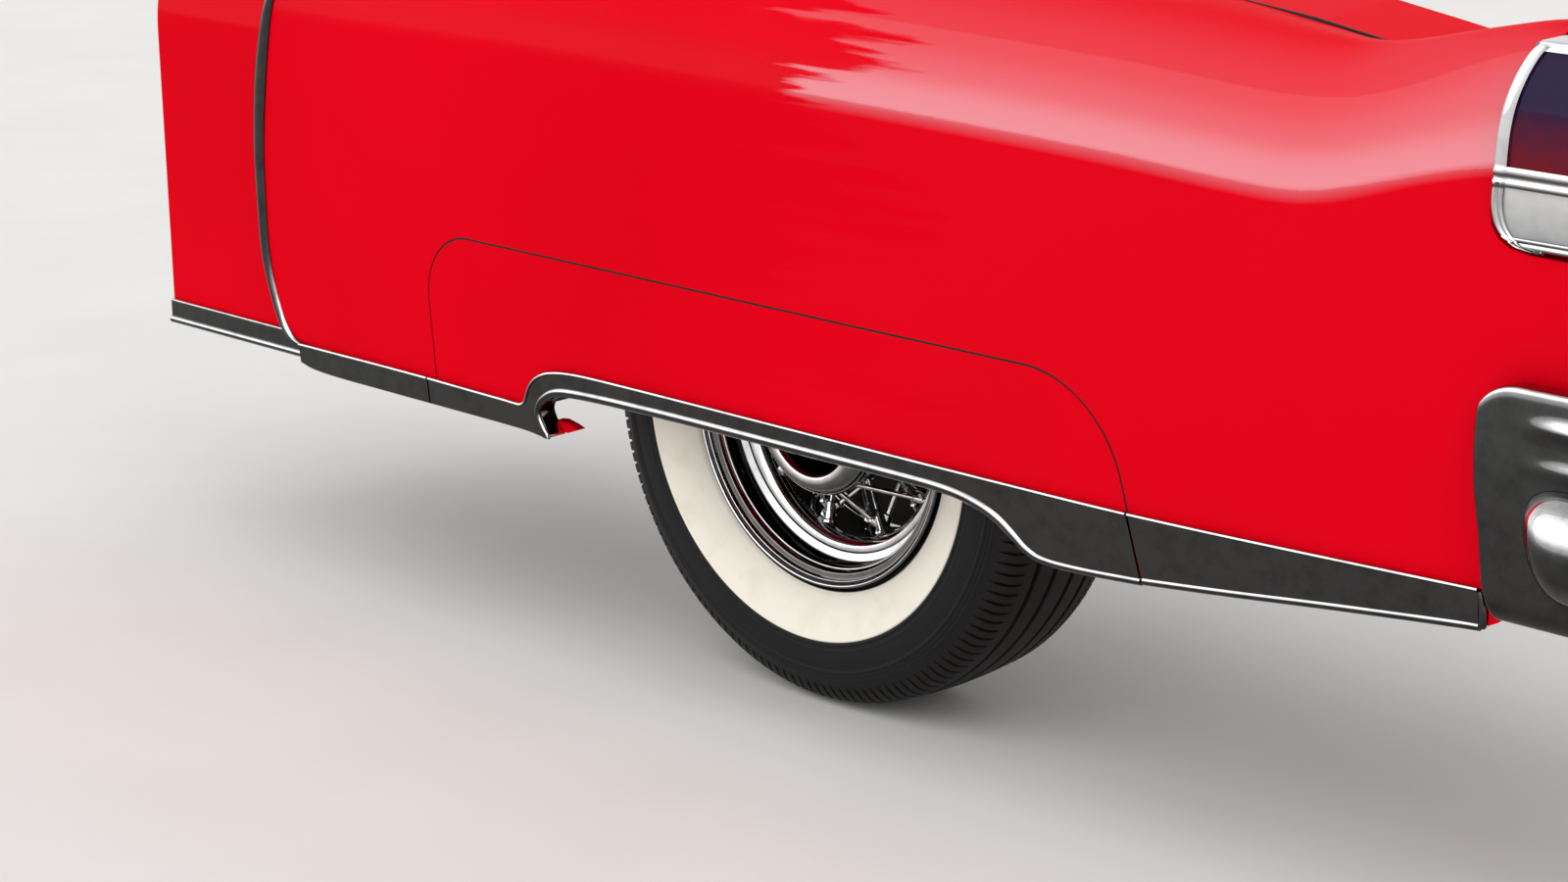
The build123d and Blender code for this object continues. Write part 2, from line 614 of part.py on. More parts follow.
pipe_start_x = 480.0
pipe_y = -560.0
pipe_z = -44.0
pipe_socket_length = 50.0
pipe_path = FilletPolyline((pipe_start_x, pipe_y, pipe_z), (1180, pipe_y, pipe_z), (1345, -730, pipe_z + 8),
                           (1425, pod_y, pod_z - 20), (bumper_rear_x, pod_y, pod_z - 20), radius=45)
pipe_plane = Plane(origin=(pipe_start_x, pipe_y, pipe_z), z_dir=(1, 0, 0))


def pipe_run(radius):
    return sweep(pipe_plane * Circle(radius), path=pipe_path)


pipe_socket = rod((pipe_start_x - pipe_socket_length, pipe_y, pipe_z), (pipe_start_x + 6, pipe_y, pipe_z),
                  pipe_radius + 3)
socket_bore = rod((pipe_start_x - pipe_socket_length - 5, pipe_y, pipe_z), (pipe_start_x, pipe_y, pipe_z),
                  pipe_radius + 0.2)
pipe = (pipe_run(pipe_radius) + pipe_socket) - pipe_run(pipe_radius - pipe_wall) - socket_bore
save(pipe, "tail_pipe")

pipe_way = pipe_run(pipe_radius + 4)
joint_bolts = [(-360.0, 90.0), (-360.0, 170.0)]
for y, z in joint_bolts:
    bumper = bumper - rod((bumper_rear_x - 30, y, z), (bumper_rear_x + 30, y, z), 6.5)
save(bumper - pipe_way, "bumper_end")
save(pod - pipe_way, "bumper_exhaust_pod")

hanger_x = 1000.0
pipe_hanger = rod((hanger_x - 15, pipe_y, pipe_z), (hanger_x + 15, pipe_y, pipe_z), pipe_radius + 4)
pipe_hanger = pipe_hanger + box((hanger_x - 15, hanger_x + 15), (pipe_y - 3, pipe_y + 3), (pipe_z, boot_floor_z))
pipe_hanger = pipe_hanger - rod((hanger_x - 40, pipe_y, pipe_z), (hanger_x + 40, pipe_y, pipe_z),
                                pipe_radius + 0.1)
save(pipe_hanger, "pipe_hanger")

# Axle tube, leaf spring and shock absorber

tube_end_y = wheel_mid_y + 116.0
pad_z = -(tube_radius + 6)
tube = rod((0, -spigot_length, 0), (0, tube_end_y, 0), tube_radius)
tube = tube + rod((0, 0, 0), (0, -spigot_length - 2, 0), spigot_radius)
tube = tube + rod((0, tube_end_y + 10, 0), (0, tube_end_y, 0), tube_radius + 32)
pad = box((-50, 50), (spring_mid_y - leaf_width / 2, spring_mid_y + leaf_width / 2), (pad_z + seat_gap, -20))
tube = tube + pad - rod((0, 10, 0), (0, tube_end_y - 10, 0), tube_radius - tube_wall)
save(tube, "axle_tube")

bearing_out = tube_radius - tube_wall
bearing = rod((0, tube_end_y, 0), (0, tube_end_y + 24, 0), bearing_out)
bearing = bearing - rod((0, tube_end_y - 5, 0), (0, tube_end_y + 30, 0), shaft_radius + bearing_gap)
save(bearing, "axle_bearing")

backing = rod((0, tube_end_y - backing_wall, 0), (0, tube_end_y, 0), backing_radius)
backing = backing - rod((0, tube_end_y - 10, 0), (0, tube_end_y + 10, 0), bearing_out - 4)
save(backing, "backing_plate")

leaf_top_z = pad_z
arc_z = leaf_top_z + leaf_radius


def leaf(index):
    """One curved leaf, under the ones above it."""
    half = leaf_half_lengths[index]
    top, low = leaf_radius + index * leaf_thickness, leaf_radius + (index + 1) * leaf_thickness
    angle = asin(half / leaf_radius)

    def point(radius, turn):
        return (radius * sin(turn), spring_mid_y - leaf_width / 2, arc_z - radius * cos(turn))

    upper = ThreePointArc(point(top, -angle), point(top, 0), point(top, angle))
    lower = ThreePointArc(point(low, angle), point(low, 0), point(low, -angle))
    ends = [Line(point(top, angle), point(low, angle)), Line(point(low, -angle), point(top, -angle))]
    return extrude(make_face([upper, ends[0], lower, ends[1]]), amount=leaf_width, dir=(0, 1, 0))


main_angle = asin(leaf_half_lengths[0] / leaf_radius)
eye_drop = leaf_radius + leaf_thickness - eye_radius
eye_z = arc_z - eye_drop * cos(main_angle)
eye_x = eye_drop * sin(main_angle) + eye_radius * 0.4
spring_low_y, spring_high_y = spring_mid_y - leaf_width / 2, spring_mid_y + leaf_width / 2
spring = leaf(0)
for number in range(1, len(leaf_half_lengths)):
    spring = spring + leaf(number)
for side in (-1, 1):
    spring = spring + rod((side * eye_x, spring_low_y, eye_z), (side * eye_x, spring_high_y, eye_z), eye_radius)
for side in (-1, 1):
    spring = spring - rod((side * eye_x, spring_low_y - 5, eye_z), (side * eye_x, spring_high_y + 5, eye_z),
                          eye_bore)
save(spring, "leaf_spring")

plate_top_z = leaf_top_z - len(leaf_half_lengths) * leaf_thickness
plate_wall = 10.0
bolt_radius = 5.5
plate = box((-62, 62), (spring_low_y - 22, spring_high_y + 14), (plate_top_z - plate_wall, plate_top_z))
bolt_low_y, bolt_high_y = spring_low_y - 8, spring_high_y + 7


bolt_x = 46.0


def u_bolt(y):
    """A bolt bent over the axle tube, with both its ends through the spring plate."""
    low_z, high_z = plate_top_z - plate_wall - 14, tube_radius + bolt_radius + seat_gap
    path = FilletPolyline((-bolt_x, y, low_z), (-bolt_x, y, high_z), (bolt_x, y, high_z), (bolt_x, y, low_z),
                          radius=30)
    return sweep(Plane(origin=(-bolt_x, y, low_z), z_dir=(0, 0, 1)) * Circle(bolt_radius), path=path)


bolts = u_bolt(bolt_low_y) + u_bolt(bolt_high_y)
for x in (-bolt_x, bolt_x):
    for y in (bolt_low_y, bolt_high_y):
        plate = plate - rod((x, y, plate_top_z + 5), (x, y, plate_top_z - 20), bolt_radius + 0.2)
        nut_plane = Plane(origin=(x, y, plate_top_z - plate_wall), z_dir=(0, 0, -1))
        bolts = bolts + extrude(nut_plane * RegularPolygon(10, 6), amount=10)
shock_y = bolt_low_y - 24
plate = plate + bolts + box((54, 94), (bolt_low_y - 14, bolt_low_y - 6), (plate_top_z - 20, plate_top_z + 4))
save(plate, "spring_plate")

hanger_y = rail_outer_y
hanger_top_z = eye_z + eye_radius + 5
front_hanger = box((-eye_x - 34, -eye_x + 34), (spring_high_y + 1, hanger_y), (eye_z - 34, hanger_top_z))
front_hanger = front_hanger + box((-eye_x - 30, -eye_x + 30), (spring_low_y - 7, spring_low_y - 1),
                                  (eye_z - 28, hanger_top_z))
front_hanger = front_hanger + box((-eye_x - 30, -eye_x + 30), (spring_low_y - 7, hanger_y),
                                  (hanger_top_z - 5, hanger_top_z))
front_hanger = front_hanger + rod((-eye_x, spring_low_y - 7, eye_z), (-eye_x, hanger_y, eye_z),
                                  eye_bore - bearing_gap)
save(front_hanger, "spring_front_hanger")

shackle_top_z = rail_tail_z
shackle_x = eye_x + 14
link = []
for y in (spring_low_y - 7, spring_high_y + 1):
    link.append(box((eye_x - 13, shackle_x + 13), (y, y + 6), (eye_z - 13, shackle_top_z + 13)))
shackle = link[0] + link[1]
shackle = shackle + rod((eye_x, spring_low_y - 7, eye_z), (eye_x, spring_high_y + 7, eye_z),
                        eye_bore - bearing_gap)
shackle = shackle + rod((shackle_x, spring_low_y - 7, shackle_top_z), (shackle_x, hanger_y, shackle_top_z),
                        eye_bore)
save(shackle, "spring_shackle")

# Shock absorber, from the spring plate up to the rail
shock_foot = Vector(80, shock_y, plate_top_z - 8)
shock_head = Vector(118, shock_y, rail_kick_z + 8)
shock_line = (shock_head - shock_foot).normalized()
shock_length = (shock_head - shock_foot).length
shock = rod(shock_foot + shock_line * 20, shock_foot + shock_line * 170, 19)
shock = shock + rod(shock_foot + shock_line * 150, shock_head - shock_line * 26, 21)
shock = shock + rod(shock_foot, shock_head, 8)
for point, inner_y in ((shock_foot, bolt_low_y - 14), (shock_head, rail_outer_y)):
    eye_start = Vector(point.X, shock_y - 14, point.Z)
    shock = shock + rod(eye_start, Vector(point.X, shock_y + 5, point.Z), 14)
    shock = shock + rod(eye_start, Vector(point.X, inner_y, point.Z), 8)
save(shock, "shock_absorber")

# Wheel

def place(profile):
    return [(wheel_mid_y + y, r) for y, r in profile]


w, lip, seat = rim_half_width, flange_lip, bead_radius
rim_profile = [(-w - lip, flange_radius), (-w, flange_radius), (-w, seat + 3), (-w + 6, seat), (-46, seat - 2),
               (-38, well_radius), (28, well_radius), (38, seat - 2), (w - 6, seat), (w, seat + 3),
               (w, flange_radius), (w + lip, flange_radius), (w + lip, seat + 4), (w - 3, seat - 4),
               (40, seat - 6), (31, well_radius - 5), (22, well_radius - 9), (-30, well_radius - 9),
               (-41, well_radius - 4), (-49, seat - 6), (-w + 4, seat - 4), (-w + 4, seat + 1),
               (-w, seat + 4), (-w, seat + 10), (-w - lip, seat + 11)]
rim = turned(place(rim_profile))
save(rim, "wheel_rim")


def tyre_outline(inset):
    """Half-open tyre section as arcs, from the outer bead to the inner bead."""
    half = tyre_half_width - inset
    y0 = wheel_mid_y
    bead = rim_half_width - seat_gap - inset
    foot_r = bead_radius + 4
    knee = (0, y0 - bead, flange_radius + 2)
    shoulder_r = tyre_radius - 17 - inset
    crown = tyre_radius - inset
    side = ThreePointArc(knee, (0, y0 - half, whitewall_radius + 2), (0, y0 - half + 19, shoulder_r))
    edge = ThreePointArc((0, y0 - half + 19, shoulder_r), (0, y0 - half + 25, shoulder_r + 7),
                         (0, y0 - half + 35, crown - 5))
    tread = ThreePointArc((0, y0 - half + 35, crown - 5), (0, y0, crown), (0, y0 + half - 35, crown - 5))
    edge_b = ThreePointArc((0, y0 + half - 35, crown - 5), (0, y0 + half - 25, shoulder_r + 7),
                           (0, y0 + half - 19, shoulder_r))
    side_b = ThreePointArc((0, y0 + half - 19, shoulder_r), (0, y0 + half, whitewall_radius + 2),
                           (0, y0 + bead, flange_radius + 2))
    foot = Polyline((0, y0 + bead, flange_radius + 2), (0, y0 + bead, foot_r), (0, y0 - bead, foot_r), knee)
    return make_face([side, edge, tread, edge_b, side_b, foot])


tyre = revolve(tyre_outline(0), axis=Axis.Y) - revolve(tyre_outline(tyre_wall), axis=Axis.Y)
tyre = tyre - rod((0, wheel_mid_y - 60, 0), (0, wheel_mid_y + 60, 0), bead_radius + 20)
save(tyre, "whitewall_tyre")

disc_wall = 8.0
face = drum_face_y - wheel_mid_y
hub_profile = place([(hub_outer_y, hub_radius + 4), (hub_outer_y + 6, hub_radius + 4),
                     (hub_outer_y + 10, hub_radius), (face - disc_wall, hub_radius),
                     (face - disc_wall, hub_radius + 4), (face, hub_radius + 4), (face, 30),
                     (face - disc_wall, 30), (face - disc_wall, hub_radius - hub_wall),
                     (hub_outer_y, hub_radius - hub_wall)])
hub = turned(hub_profile)


def on_circle(count, radius, first=0.0):
    for number in range(count):
        turn = radians(first + number * 360 / count)
        yield radius * cos(turn), radius * sin(turn)


for x, z in on_circle(stud_count, stud_circle_radius, 90):
    hub = hub - rod((x, drum_face_y + 5, z), (x, drum_face_y - 12, z), stud_radius + 0.5)
save(hub, "wheel_hub")

drum_profile = [(drum_face_y, 30), (drum_face_y, drum_radius - 12), (drum_face_y + 12, drum_radius),
                (drum_face_y + drum_depth, drum_radius), (drum_face_y + drum_depth, drum_radius - drum_wall),
                (drum_face_y + 14, drum_radius - drum_wall), (drum_face_y + 6, drum_radius - 16),
                (drum_face_y + 6, 30)]
drum = turned(drum_profile)
for x, z in on_circle(stud_count, stud_circle_radius, 90):
    drum = drum - rod((x, drum_face_y - 5, z), (x, drum_face_y + 12, z), stud_radius + 0.5)
save(drum, "brake_drum")

flange_y = drum_face_y + drum_wall
shaft = rod((0, flange_y, 0), (0, -12, 0), shaft_radius)
shaft = shaft + rod((0, flange_y, 0), (0, flange_y + 9, 0), stud_circle_radius + 14)
shaft = shaft + rod((0, flange_y - 22, 0), (0, flange_y, 0), 30 - seat_gap)
for x, z in on_circle(stud_count, stud_circle_radius, 90):
    shaft = shaft + rod((x, flange_y + 4, z), (x, drum_face_y - 30, z), stud_radius)
save(shaft, "axle_shaft")

nuts = None
for x, z in on_circle(stud_count, stud_circle_radius, 90):
    nut = extrude(Plane(origin=(x, drum_face_y - disc_wall, z), z_dir=(0, -1, 0))
                  * RegularPolygon(11, 6), amount=14)
    nut = nut - rod((x, drum_face_y, z), (x, drum_face_y - 50, z), stud_radius + 0.1)
    nuts = nut if nuts is None else nuts + nut
save(nuts, "wheel_nuts")

# Wire spokes: hub place, rim place, lean in degrees, first angle
ring_radius = well_radius - 9
spoke_rows = ((-54.0, -4.0, 34.0, 0.0), (-54.0, 6.0, -34.0, 18.0),
              (18.0, -22.0, 30.0, 9.0), (18.0, -12.0, -30.0, 27.0))
spokes = []
for hub_y, rim_y, lean, first in spoke_rows:
    for number in range(spokes_per_row):
        a = radians(first + number * 360 / spokes_per_row)
        b = a + radians(lean)
        start = Vector((hub_radius - 2) * cos(a), wheel_mid_y + hub_y, (hub_radius - 2) * sin(a))
        end = Vector((ring_radius + 2) * cos(b), wheel_mid_y + rim_y, (ring_radius + 2) * sin(b))
        along = (end - start).normalized()
        spokes.append(rod(start, end, spoke_radius) + rod(end - along * nipple_length, end, nipple_radius))
spoke_set = [spoke - hub - rim for spoke in spokes]
save(Compound(children=spoke_set), "wire_spokes")

cap_y = hub_outer_y - seat_gap
cap_profile = place([(cap_y, 94), (cap_y - 9, 95), (cap_y - 19, 92), (cap_y - 27, 84), (cap_y - 30, 76),
                     (cap_y - 29, 69), (cap_y - 25, 65), (cap_y + 6, 60), (cap_y + 16, 50), (cap_y + 18, 0),
                     (cap_y + 21, 0), (cap_y + 19, 52), (cap_y + 8, 63), (cap_y - 23, 68), (cap_y - 26, 72),
                     (cap_y - 27, 76), (cap_y - 24, 82), (cap_y - 17, 89), (cap_y - 8, 91), (cap_y, 90)])
cap = turned(cap_profile)
save(cap, "hub_cap")

print(len(written), "pieces written")
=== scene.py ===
import bpy
import bmesh
import json
import numpy as np
from math import acos, cos, hypot, pi, radians, sin, sqrt, tan
from mathutils import Matrix, Vector


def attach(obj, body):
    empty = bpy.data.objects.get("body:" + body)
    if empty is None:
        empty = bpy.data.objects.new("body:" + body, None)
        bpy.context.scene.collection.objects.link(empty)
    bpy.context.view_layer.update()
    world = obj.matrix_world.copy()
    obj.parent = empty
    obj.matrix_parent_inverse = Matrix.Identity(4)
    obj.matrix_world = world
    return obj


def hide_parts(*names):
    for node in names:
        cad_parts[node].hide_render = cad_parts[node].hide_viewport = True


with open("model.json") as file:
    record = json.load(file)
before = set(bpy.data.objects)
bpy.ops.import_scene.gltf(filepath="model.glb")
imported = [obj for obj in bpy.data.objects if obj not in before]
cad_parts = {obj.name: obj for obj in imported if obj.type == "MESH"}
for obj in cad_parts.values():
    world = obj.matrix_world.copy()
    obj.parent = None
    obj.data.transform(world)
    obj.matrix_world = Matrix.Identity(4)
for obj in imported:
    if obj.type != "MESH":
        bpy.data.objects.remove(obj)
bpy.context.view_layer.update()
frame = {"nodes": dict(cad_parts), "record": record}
nodes = frame["nodes"]
print("frame loaded:", len(nodes), "nodes")


def linked(name, data):
    item = bpy.data.objects.new(name, data)
    bpy.context.scene.collection.objects.link(item)
    return item


# Camera at the photograph's viewing angle

camera = {"place": (3.14778, -3.74387, 1.19049), "yaw": 46.3093, "pitch": 15.4873, "roll": -1.0, "lens": 85.5}


def addCamera(values):
    a, e, t = (radians(values[key]) for key in ("yaw", "pitch", "roll"))
    back = Vector((sin(a) * cos(e), -cos(a) * cos(e), sin(e)))
    level = (-back).cross(Vector((0, 0, 1))).normalized()
    rise = level.cross(-back)
    right = level * cos(t) + rise * sin(t)
    up = rise * cos(t) - level * sin(t)
    data = bpy.data.cameras.new("photoCamera")
    data.lens = values["lens"]
    data.sensor_width = 36
    data.clip_end = 60
    item = linked("photoCamera", data)
    turn = Matrix((right, up, back)).transposed().to_4x4()
    item.matrix_world = Matrix.Translation(values["place"]) @ turn
    bpy.context.scene.camera = item


addCamera(camera)

# Colour and node helpers


def colour(code):
    values = [int(code[i:i + 2], 16) / 255 for i in (0, 2, 4)]
    return tuple(v / 12.92 if v < 0.04045 else ((v + 0.055) / 1.055) ** 2.4 for v in values) + (1.0,)


def addNode(tree, kind, links=None, values=None, **settings):
    node = tree.nodes.new(kind)
    for key, value in settings.items():
        setattr(node, key, value)
    for key, value in (values or {}).items():
        node.inputs[key].default_value = value
    for key, socket in (links or {}).items():
        tree.links.new(socket, node.inputs[key])
    return node


def newMaterial(name, **sockets):
    material = bpy.data.materials.new(name)
    material.use_nodes = True
    tree = material.node_tree
    shader = tree.nodes["Principled BSDF"]
    for key, value in sockets.items():
        shader.inputs[key.replace("_", " ")].default_value = value
    place = addNode(tree, "ShaderNodeTexCoord").outputs["Object"]
    return material, tree, shader, place


def feed(tree, shader, **sockets):
    for key, socket in sockets.items():
        tree.links.new(socket, shader.inputs[key.replace("_", " ")])


def addRamp(tree, factor, stops):
    ramp = addNode(tree, "ShaderNodeValToRGB", {"Fac": factor})
    parts = ramp.color_ramp.elements
    while len(parts) < len(stops):
        parts.new(0.5)
    for part, (position, shade) in zip(parts, stops):
        part.position = position
        part.color = shade
    return ramp.outputs["Color"]


def grey(value):
    return (value, value, value, 1.0)


def grained(tree, place, millimetres, detail, strength, height):
    # A fine relief with a grain of the given size
    grain = addNode(tree, "ShaderNodeTexNoise", {"Vector": place},
                    {"Scale": 1000 / millimetres, "Detail": detail})
    return addNode(tree, "ShaderNodeBump", {"Height": grain.outputs["Fac"]},
                   {"Strength": strength, "Distance": height}).outputs["Normal"]


# Gloss red cellulose body paint, sprayed and polished: a deep even red with a faint orange peel, and a
# painted reflection: a pink sheen colour and a strong coat on faces that turn up, such as the rounded
# shoulders, while the sides keep their full red
bodyPaint = {"red": "E6001A", "deep": "DD0016", "paintedSheen": "DE0C3E", "peelMillimetres": 9.0,
             "peelHeight": 0.00006, "cloudMillimetres": 454.5, "streakMillimetres": (454.5, 21.74),
             "streakWeight": 1.3, "streakFade": (0.76, 0.83), "streakLeast": 0.03,
             "gloss": [(0.0, 0.006), (0.086, 0.01), (0.118, 1.0), (0.2, 0.92), (0.33, 0.56), (0.55, 0.32),
                       (0.8, 0.2), (0.92, 0.08), (0.97, 0.015)]}


def faceTurn(tree, axis):
    # How far a face turns along a world axis
    normal = addNode(tree, "ShaderNodeNewGeometry").outputs["Normal"]
    return addNode(tree, "ShaderNodeSeparateXYZ", {"Vector": normal}).outputs[axis]


def makePaint(values):
    material, tree, shader, place = newMaterial("glossRedPaint", Roughness=0.4, Coat_Roughness=0.03,
                                                Coat_IOR=2.6, Specular_IOR_Level=0.01)
    cloud = addNode(tree, "ShaderNodeTexNoise", {"Vector": place},
                    {"Scale": 1000 / values["cloudMillimetres"], "Detail": 3.0})
    tint = addRamp(tree, cloud.outputs["Fac"], [(0.3, colour(values["deep"])), (0.7, colour(values["red"]))])
    # Painted reflection: a band set by how far each face turns up drives the coat and the pink sheen colour
    gloss = addRamp(tree, faceTurn(tree, "Z"), [(z, grey(v)) for z, v in values["gloss"]])
    # The painted reflection and its coat fade out in long streaks toward the front
    length, height = values["streakMillimetres"]
    start, full = values["streakFade"]
    long = addNode(tree, "ShaderNodeVectorMath", {0: place}, {1: (1000 / length, 0.0, 1000 / height)},
                   operation="MULTIPLY")
    streak = addNode(tree, "ShaderNodeTexNoise", {"Vector": long.outputs["Vector"]},
                     {"Scale": 1.0, "Detail": 6.0})
    along = addNode(tree, "ShaderNodeSeparateXYZ", {"Vector": place}).outputs["X"]
    reach = addNode(tree, "ShaderNodeMath", {0: streak.outputs["Fac"], 2: along}, {1: values["streakWeight"]},
                    operation="MULTIPLY_ADD")
    fade = addNode(tree, "ShaderNodeMapRange", {"Value": reach.outputs["Value"]},
                   {"From Min": start, "From Max": full, "To Min": values["streakLeast"]})
    gloss = addNode(tree, "ShaderNodeMath", {0: gloss, 1: fade.outputs["Result"]},
                    operation="MULTIPLY").outputs["Value"]
    # The painted pink sheen is mixed into the red wherever the painted reflection band is strong
    mix = addNode(tree, "ShaderNodeMix", {0: gloss, 6: tint}, {7: colour(values["paintedSheen"])}, data_type="RGBA")
    peel = grained(tree, place, values["peelMillimetres"], 1.0, 0.35, values["peelHeight"])
    feed(tree, shader, Base_Color=mix.outputs[2], Coat_Weight=gloss, Coat_Normal=peel)
    return material


# Chromium plate over polished steel: a hard mirror with a painted reflection, its colour painted dark where
# it faces level or down, as over a road, and painted bright where it turns up, with a faint film in small
# patches
chromePlate = {"film": "C9CACB", "filmMillimetres": 25.0,
               "paintedReflectionTones": [(-1.0, 0.09), (-0.35, 0.035), (0.0, 0.05), (0.12, 0.08), (0.24, 0.3), (0.36, 0.88),
                         (0.55, 0.86), (0.75, 0.4), (1.0, 0.3)]}
# Brighter painted reflection tones for the wheel's chrome
brightChrome = {"film": "D4D6D8", "filmMillimetres": 18.0,
                "paintedReflectionTones": [(-1.0, 0.14), (-0.5, 0.1), (-0.2, 0.16), (0.0, 0.42), (0.14, 0.7), (0.3, 0.95),
                          (0.6, 0.92), (1.0, 0.6)]}
# The bezel's painted reflection also changes with how far it faces along the car
bezelChrome = {"film": "DDE1E6", "filmMillimetres": 40.0,
               "paintedReflectionTones": [(-1.0, 0.1), (-0.35, 0.12), (-0.12, 0.5), (0.0, 0.74), (0.25, 0.95), (0.7, 0.8),
                         (1.0, 0.6)],
               "paintedFrontReflectionTones": [(-1.0, 0.1), (-0.7, 0.18), (-0.45, 0.85), (-0.2, 1.0), (0.5, 1.0), (1.0, 0.5)]}


def multiplied(tree, tint, shade):
    mix = addNode(tree, "ShaderNodeMix", {6: tint, 7: shade}, {0: 1.0}, data_type="RGBA",
                  blend_type="MULTIPLY")
    return mix.outputs[2]


# Painted reflection: a grey tone chosen by how far faces turn along a world axis
def paintedReflectionBy(tree, axis, paintedReflectionTones):
    turn = addNode(tree, "ShaderNodeMapRange", {"Value": faceTurn(tree, axis)}, {"From Min": -1.0})
    return addRamp(tree, turn.outputs["Result"], [((z + 1) / 2, grey(v)) for z, v in paintedReflectionTones])


def axleDistance(tree, place):
    # How far a point lies from the wheel's axis
    flat = addNode(tree, "ShaderNodeVectorMath", {0: place}, {1: (1, 0, 1)}, operation="MULTIPLY")
    return addNode(tree, "ShaderNodeVectorMath", {0: flat.outputs["Vector"]},
                   operation="LENGTH").outputs["Value"]


def makeChrome(name, values, paintedDarkRings=()):
    material, tree, shader, place = newMaterial(name, Metallic=1.0, Roughness=0.06)
    film = addNode(tree, "ShaderNodeTexNoise", {"Vector": place},
                   {"Scale": 1000 / values["filmMillimetres"], "Detail": 4.0, "Roughness": 0.6})
    haze = addRamp(tree, film.outputs["Fac"], [(0.45, grey(1.0)), (0.8, colour(values["film"]))])
    tint = multiplied(tree, paintedReflectionBy(tree, "Z", values["paintedReflectionTones"]), haze)
    rough = addNode(tree, "ShaderNodeMapRange", {"Value": film.outputs["Fac"]},
                    {"From Min": 0.4, "From Max": 0.8, "To Min": 0.03, "To Max": 0.1})
    if "paintedFrontReflectionTones" in values:
        tint = multiplied(tree, tint, paintedReflectionBy(tree, "X", values["paintedFrontReflectionTones"]))
    # Painted dark rings round the axle: shade and dark reflection painted onto set bands
    if paintedDarkRings:
        outermost = 0.25
        ramp = addNode(tree, "ShaderNodeMapRange", {"Value": axleDistance(tree, place)},
                       {"From Max": outermost})
        rings = addRamp(tree, ramp.outputs["Result"], [(r / outermost, grey(v)) for r, v in paintedDarkRings])
        tint = multiplied(tree, tint, rings)
    feed(tree, shader, Base_Color=tint, Roughness=rough.outputs["Result"])
    return material


# Satin black chassis enamel, brushed on and dusted by the road: soft sheen, brown dust, small runs
underbodyPaint = {"black": "1B1B1D", "dust": "3A342E", "dustMillimetres": 35.0, "grainMillimetres": 2.381}


def makeEnamel(name, base, dust, millimetres, roughness, metallic=0.0):
    material, tree, shader, place = newMaterial(name, Metallic=metallic)
    patch = addNode(tree, "ShaderNodeTexNoise", {"Vector": place},
                    {"Scale": 1000 / millimetres, "Detail": 8.0, "Roughness": 0.65})
    tint = addRamp(tree, patch.outputs["Fac"], [(0.4, colour(base)), (0.75, colour(dust))])
    rough = addNode(tree, "ShaderNodeMapRange", {"Value": patch.outputs["Fac"]},
                    {"From Min": 0.35, "From Max": 0.75, "To Min": roughness,
                     "To Max": min(roughness + 0.3, 1.0)})
    grain = grained(tree, place, underbodyPaint["grainMillimetres"], 3.0, 0.25, 0.0004)
    feed(tree, shader, Base_Color=tint, Roughness=rough.outputs["Result"], Normal=grain)
    return material


# Vulcanised rubber with a white side band: cream and slightly soiled inside 274 mm, black and matt outside it
tyreRubber = {"cream": "FFFAEC", "soil": "EDE6D3", "black": "060709", "dust": "0C0C10", "tread": "0C0807",
              "bandStart": 0.217, "bandEnd": 0.2735, "bandEdge": 0.0004, "wornFrom": 0.326, "wornTo": 0.338,
              "outerSide": -0.64, "soilMillimetres": 38.46, "grainMillimetres": 1.6667}


def makeTyre(values):
    material, tree, shader, place = newMaterial("whitewallRubber", Specular_IOR_Level=0.25)
    reach = axleDistance(tree, place)
    soil = addNode(tree, "ShaderNodeTexNoise", {"Vector": place},
                   {"Scale": 1000 / values["soilMillimetres"], "Detail": 6.0})
    cream = addRamp(tree, soil.outputs["Fac"],
                    [(0.5, colour(values["cream"])), (1.0, colour(values["soil"]))])
    black = addRamp(tree, soil.outputs["Fac"],
                    [(0.4, colour(values["black"])), (0.8, colour(values["dust"]))])
    worn = addNode(tree, "ShaderNodeMapRange", {"Value": reach},
                   {"From Min": values["wornFrom"], "From Max": values["wornTo"]})
    black = addNode(tree, "ShaderNodeMix", {0: worn.outputs["Result"], 6: black},
                    {7: colour(values["tread"])}, data_type="RGBA").outputs[2]
    start, end, edge = values["bandStart"], values["bandEnd"], values["bandEdge"]
    inner = addNode(tree, "ShaderNodeMapRange", {"Value": reach},
                    {"From Min": start - edge, "From Max": start + edge})
    outer = addNode(tree, "ShaderNodeMapRange", {"Value": reach},
                    {"From Min": end + edge, "From Max": end - edge})
    depth = addNode(tree, "ShaderNodeSeparateXYZ", {"Vector": place}).outputs["Y"]
    side = addNode(tree, "ShaderNodeMath", {0: depth}, {1: values["outerSide"]}, operation="LESS_THAN")
    band = addNode(tree, "ShaderNodeMath", {0: inner.outputs["Result"], 1: outer.outputs["Result"]},
                   operation="MULTIPLY")
    mask = addNode(tree, "ShaderNodeMath", {0: band.outputs["Value"], 1: side.outputs["Value"]},
                   operation="MULTIPLY")
    mix = addNode(tree, "ShaderNodeMix", {0: mask.outputs["Value"], 6: black, 7: cream}, data_type="RGBA")
    rough = addNode(tree, "ShaderNodeMapRange", {"Value": mask.outputs["Value"]},
                    {"To Min": 0.55, "To Max": 0.42})
    grain = grained(tree, place, values["grainMillimetres"], 3.0, 0.2, 0.0003)
    feed(tree, shader, Base_Color=mix.outputs[2], Roughness=rough.outputs["Result"], Normal=grain)
    return material


# Pressed glass lens: level ribs inside that break up the light, drawn about twice as coarse as the real ones
# so that they show, and smooth outside; the red one is painted nearly black toward its top, painted shade
# where nothing lights it, and the clear one painted paler toward its top, a painted reflection of its
# reflector
lensRibs = {"pitchMillimetres": 17.765, "ribHeight": 0.0012, "cloudMillimetres": 16.667}


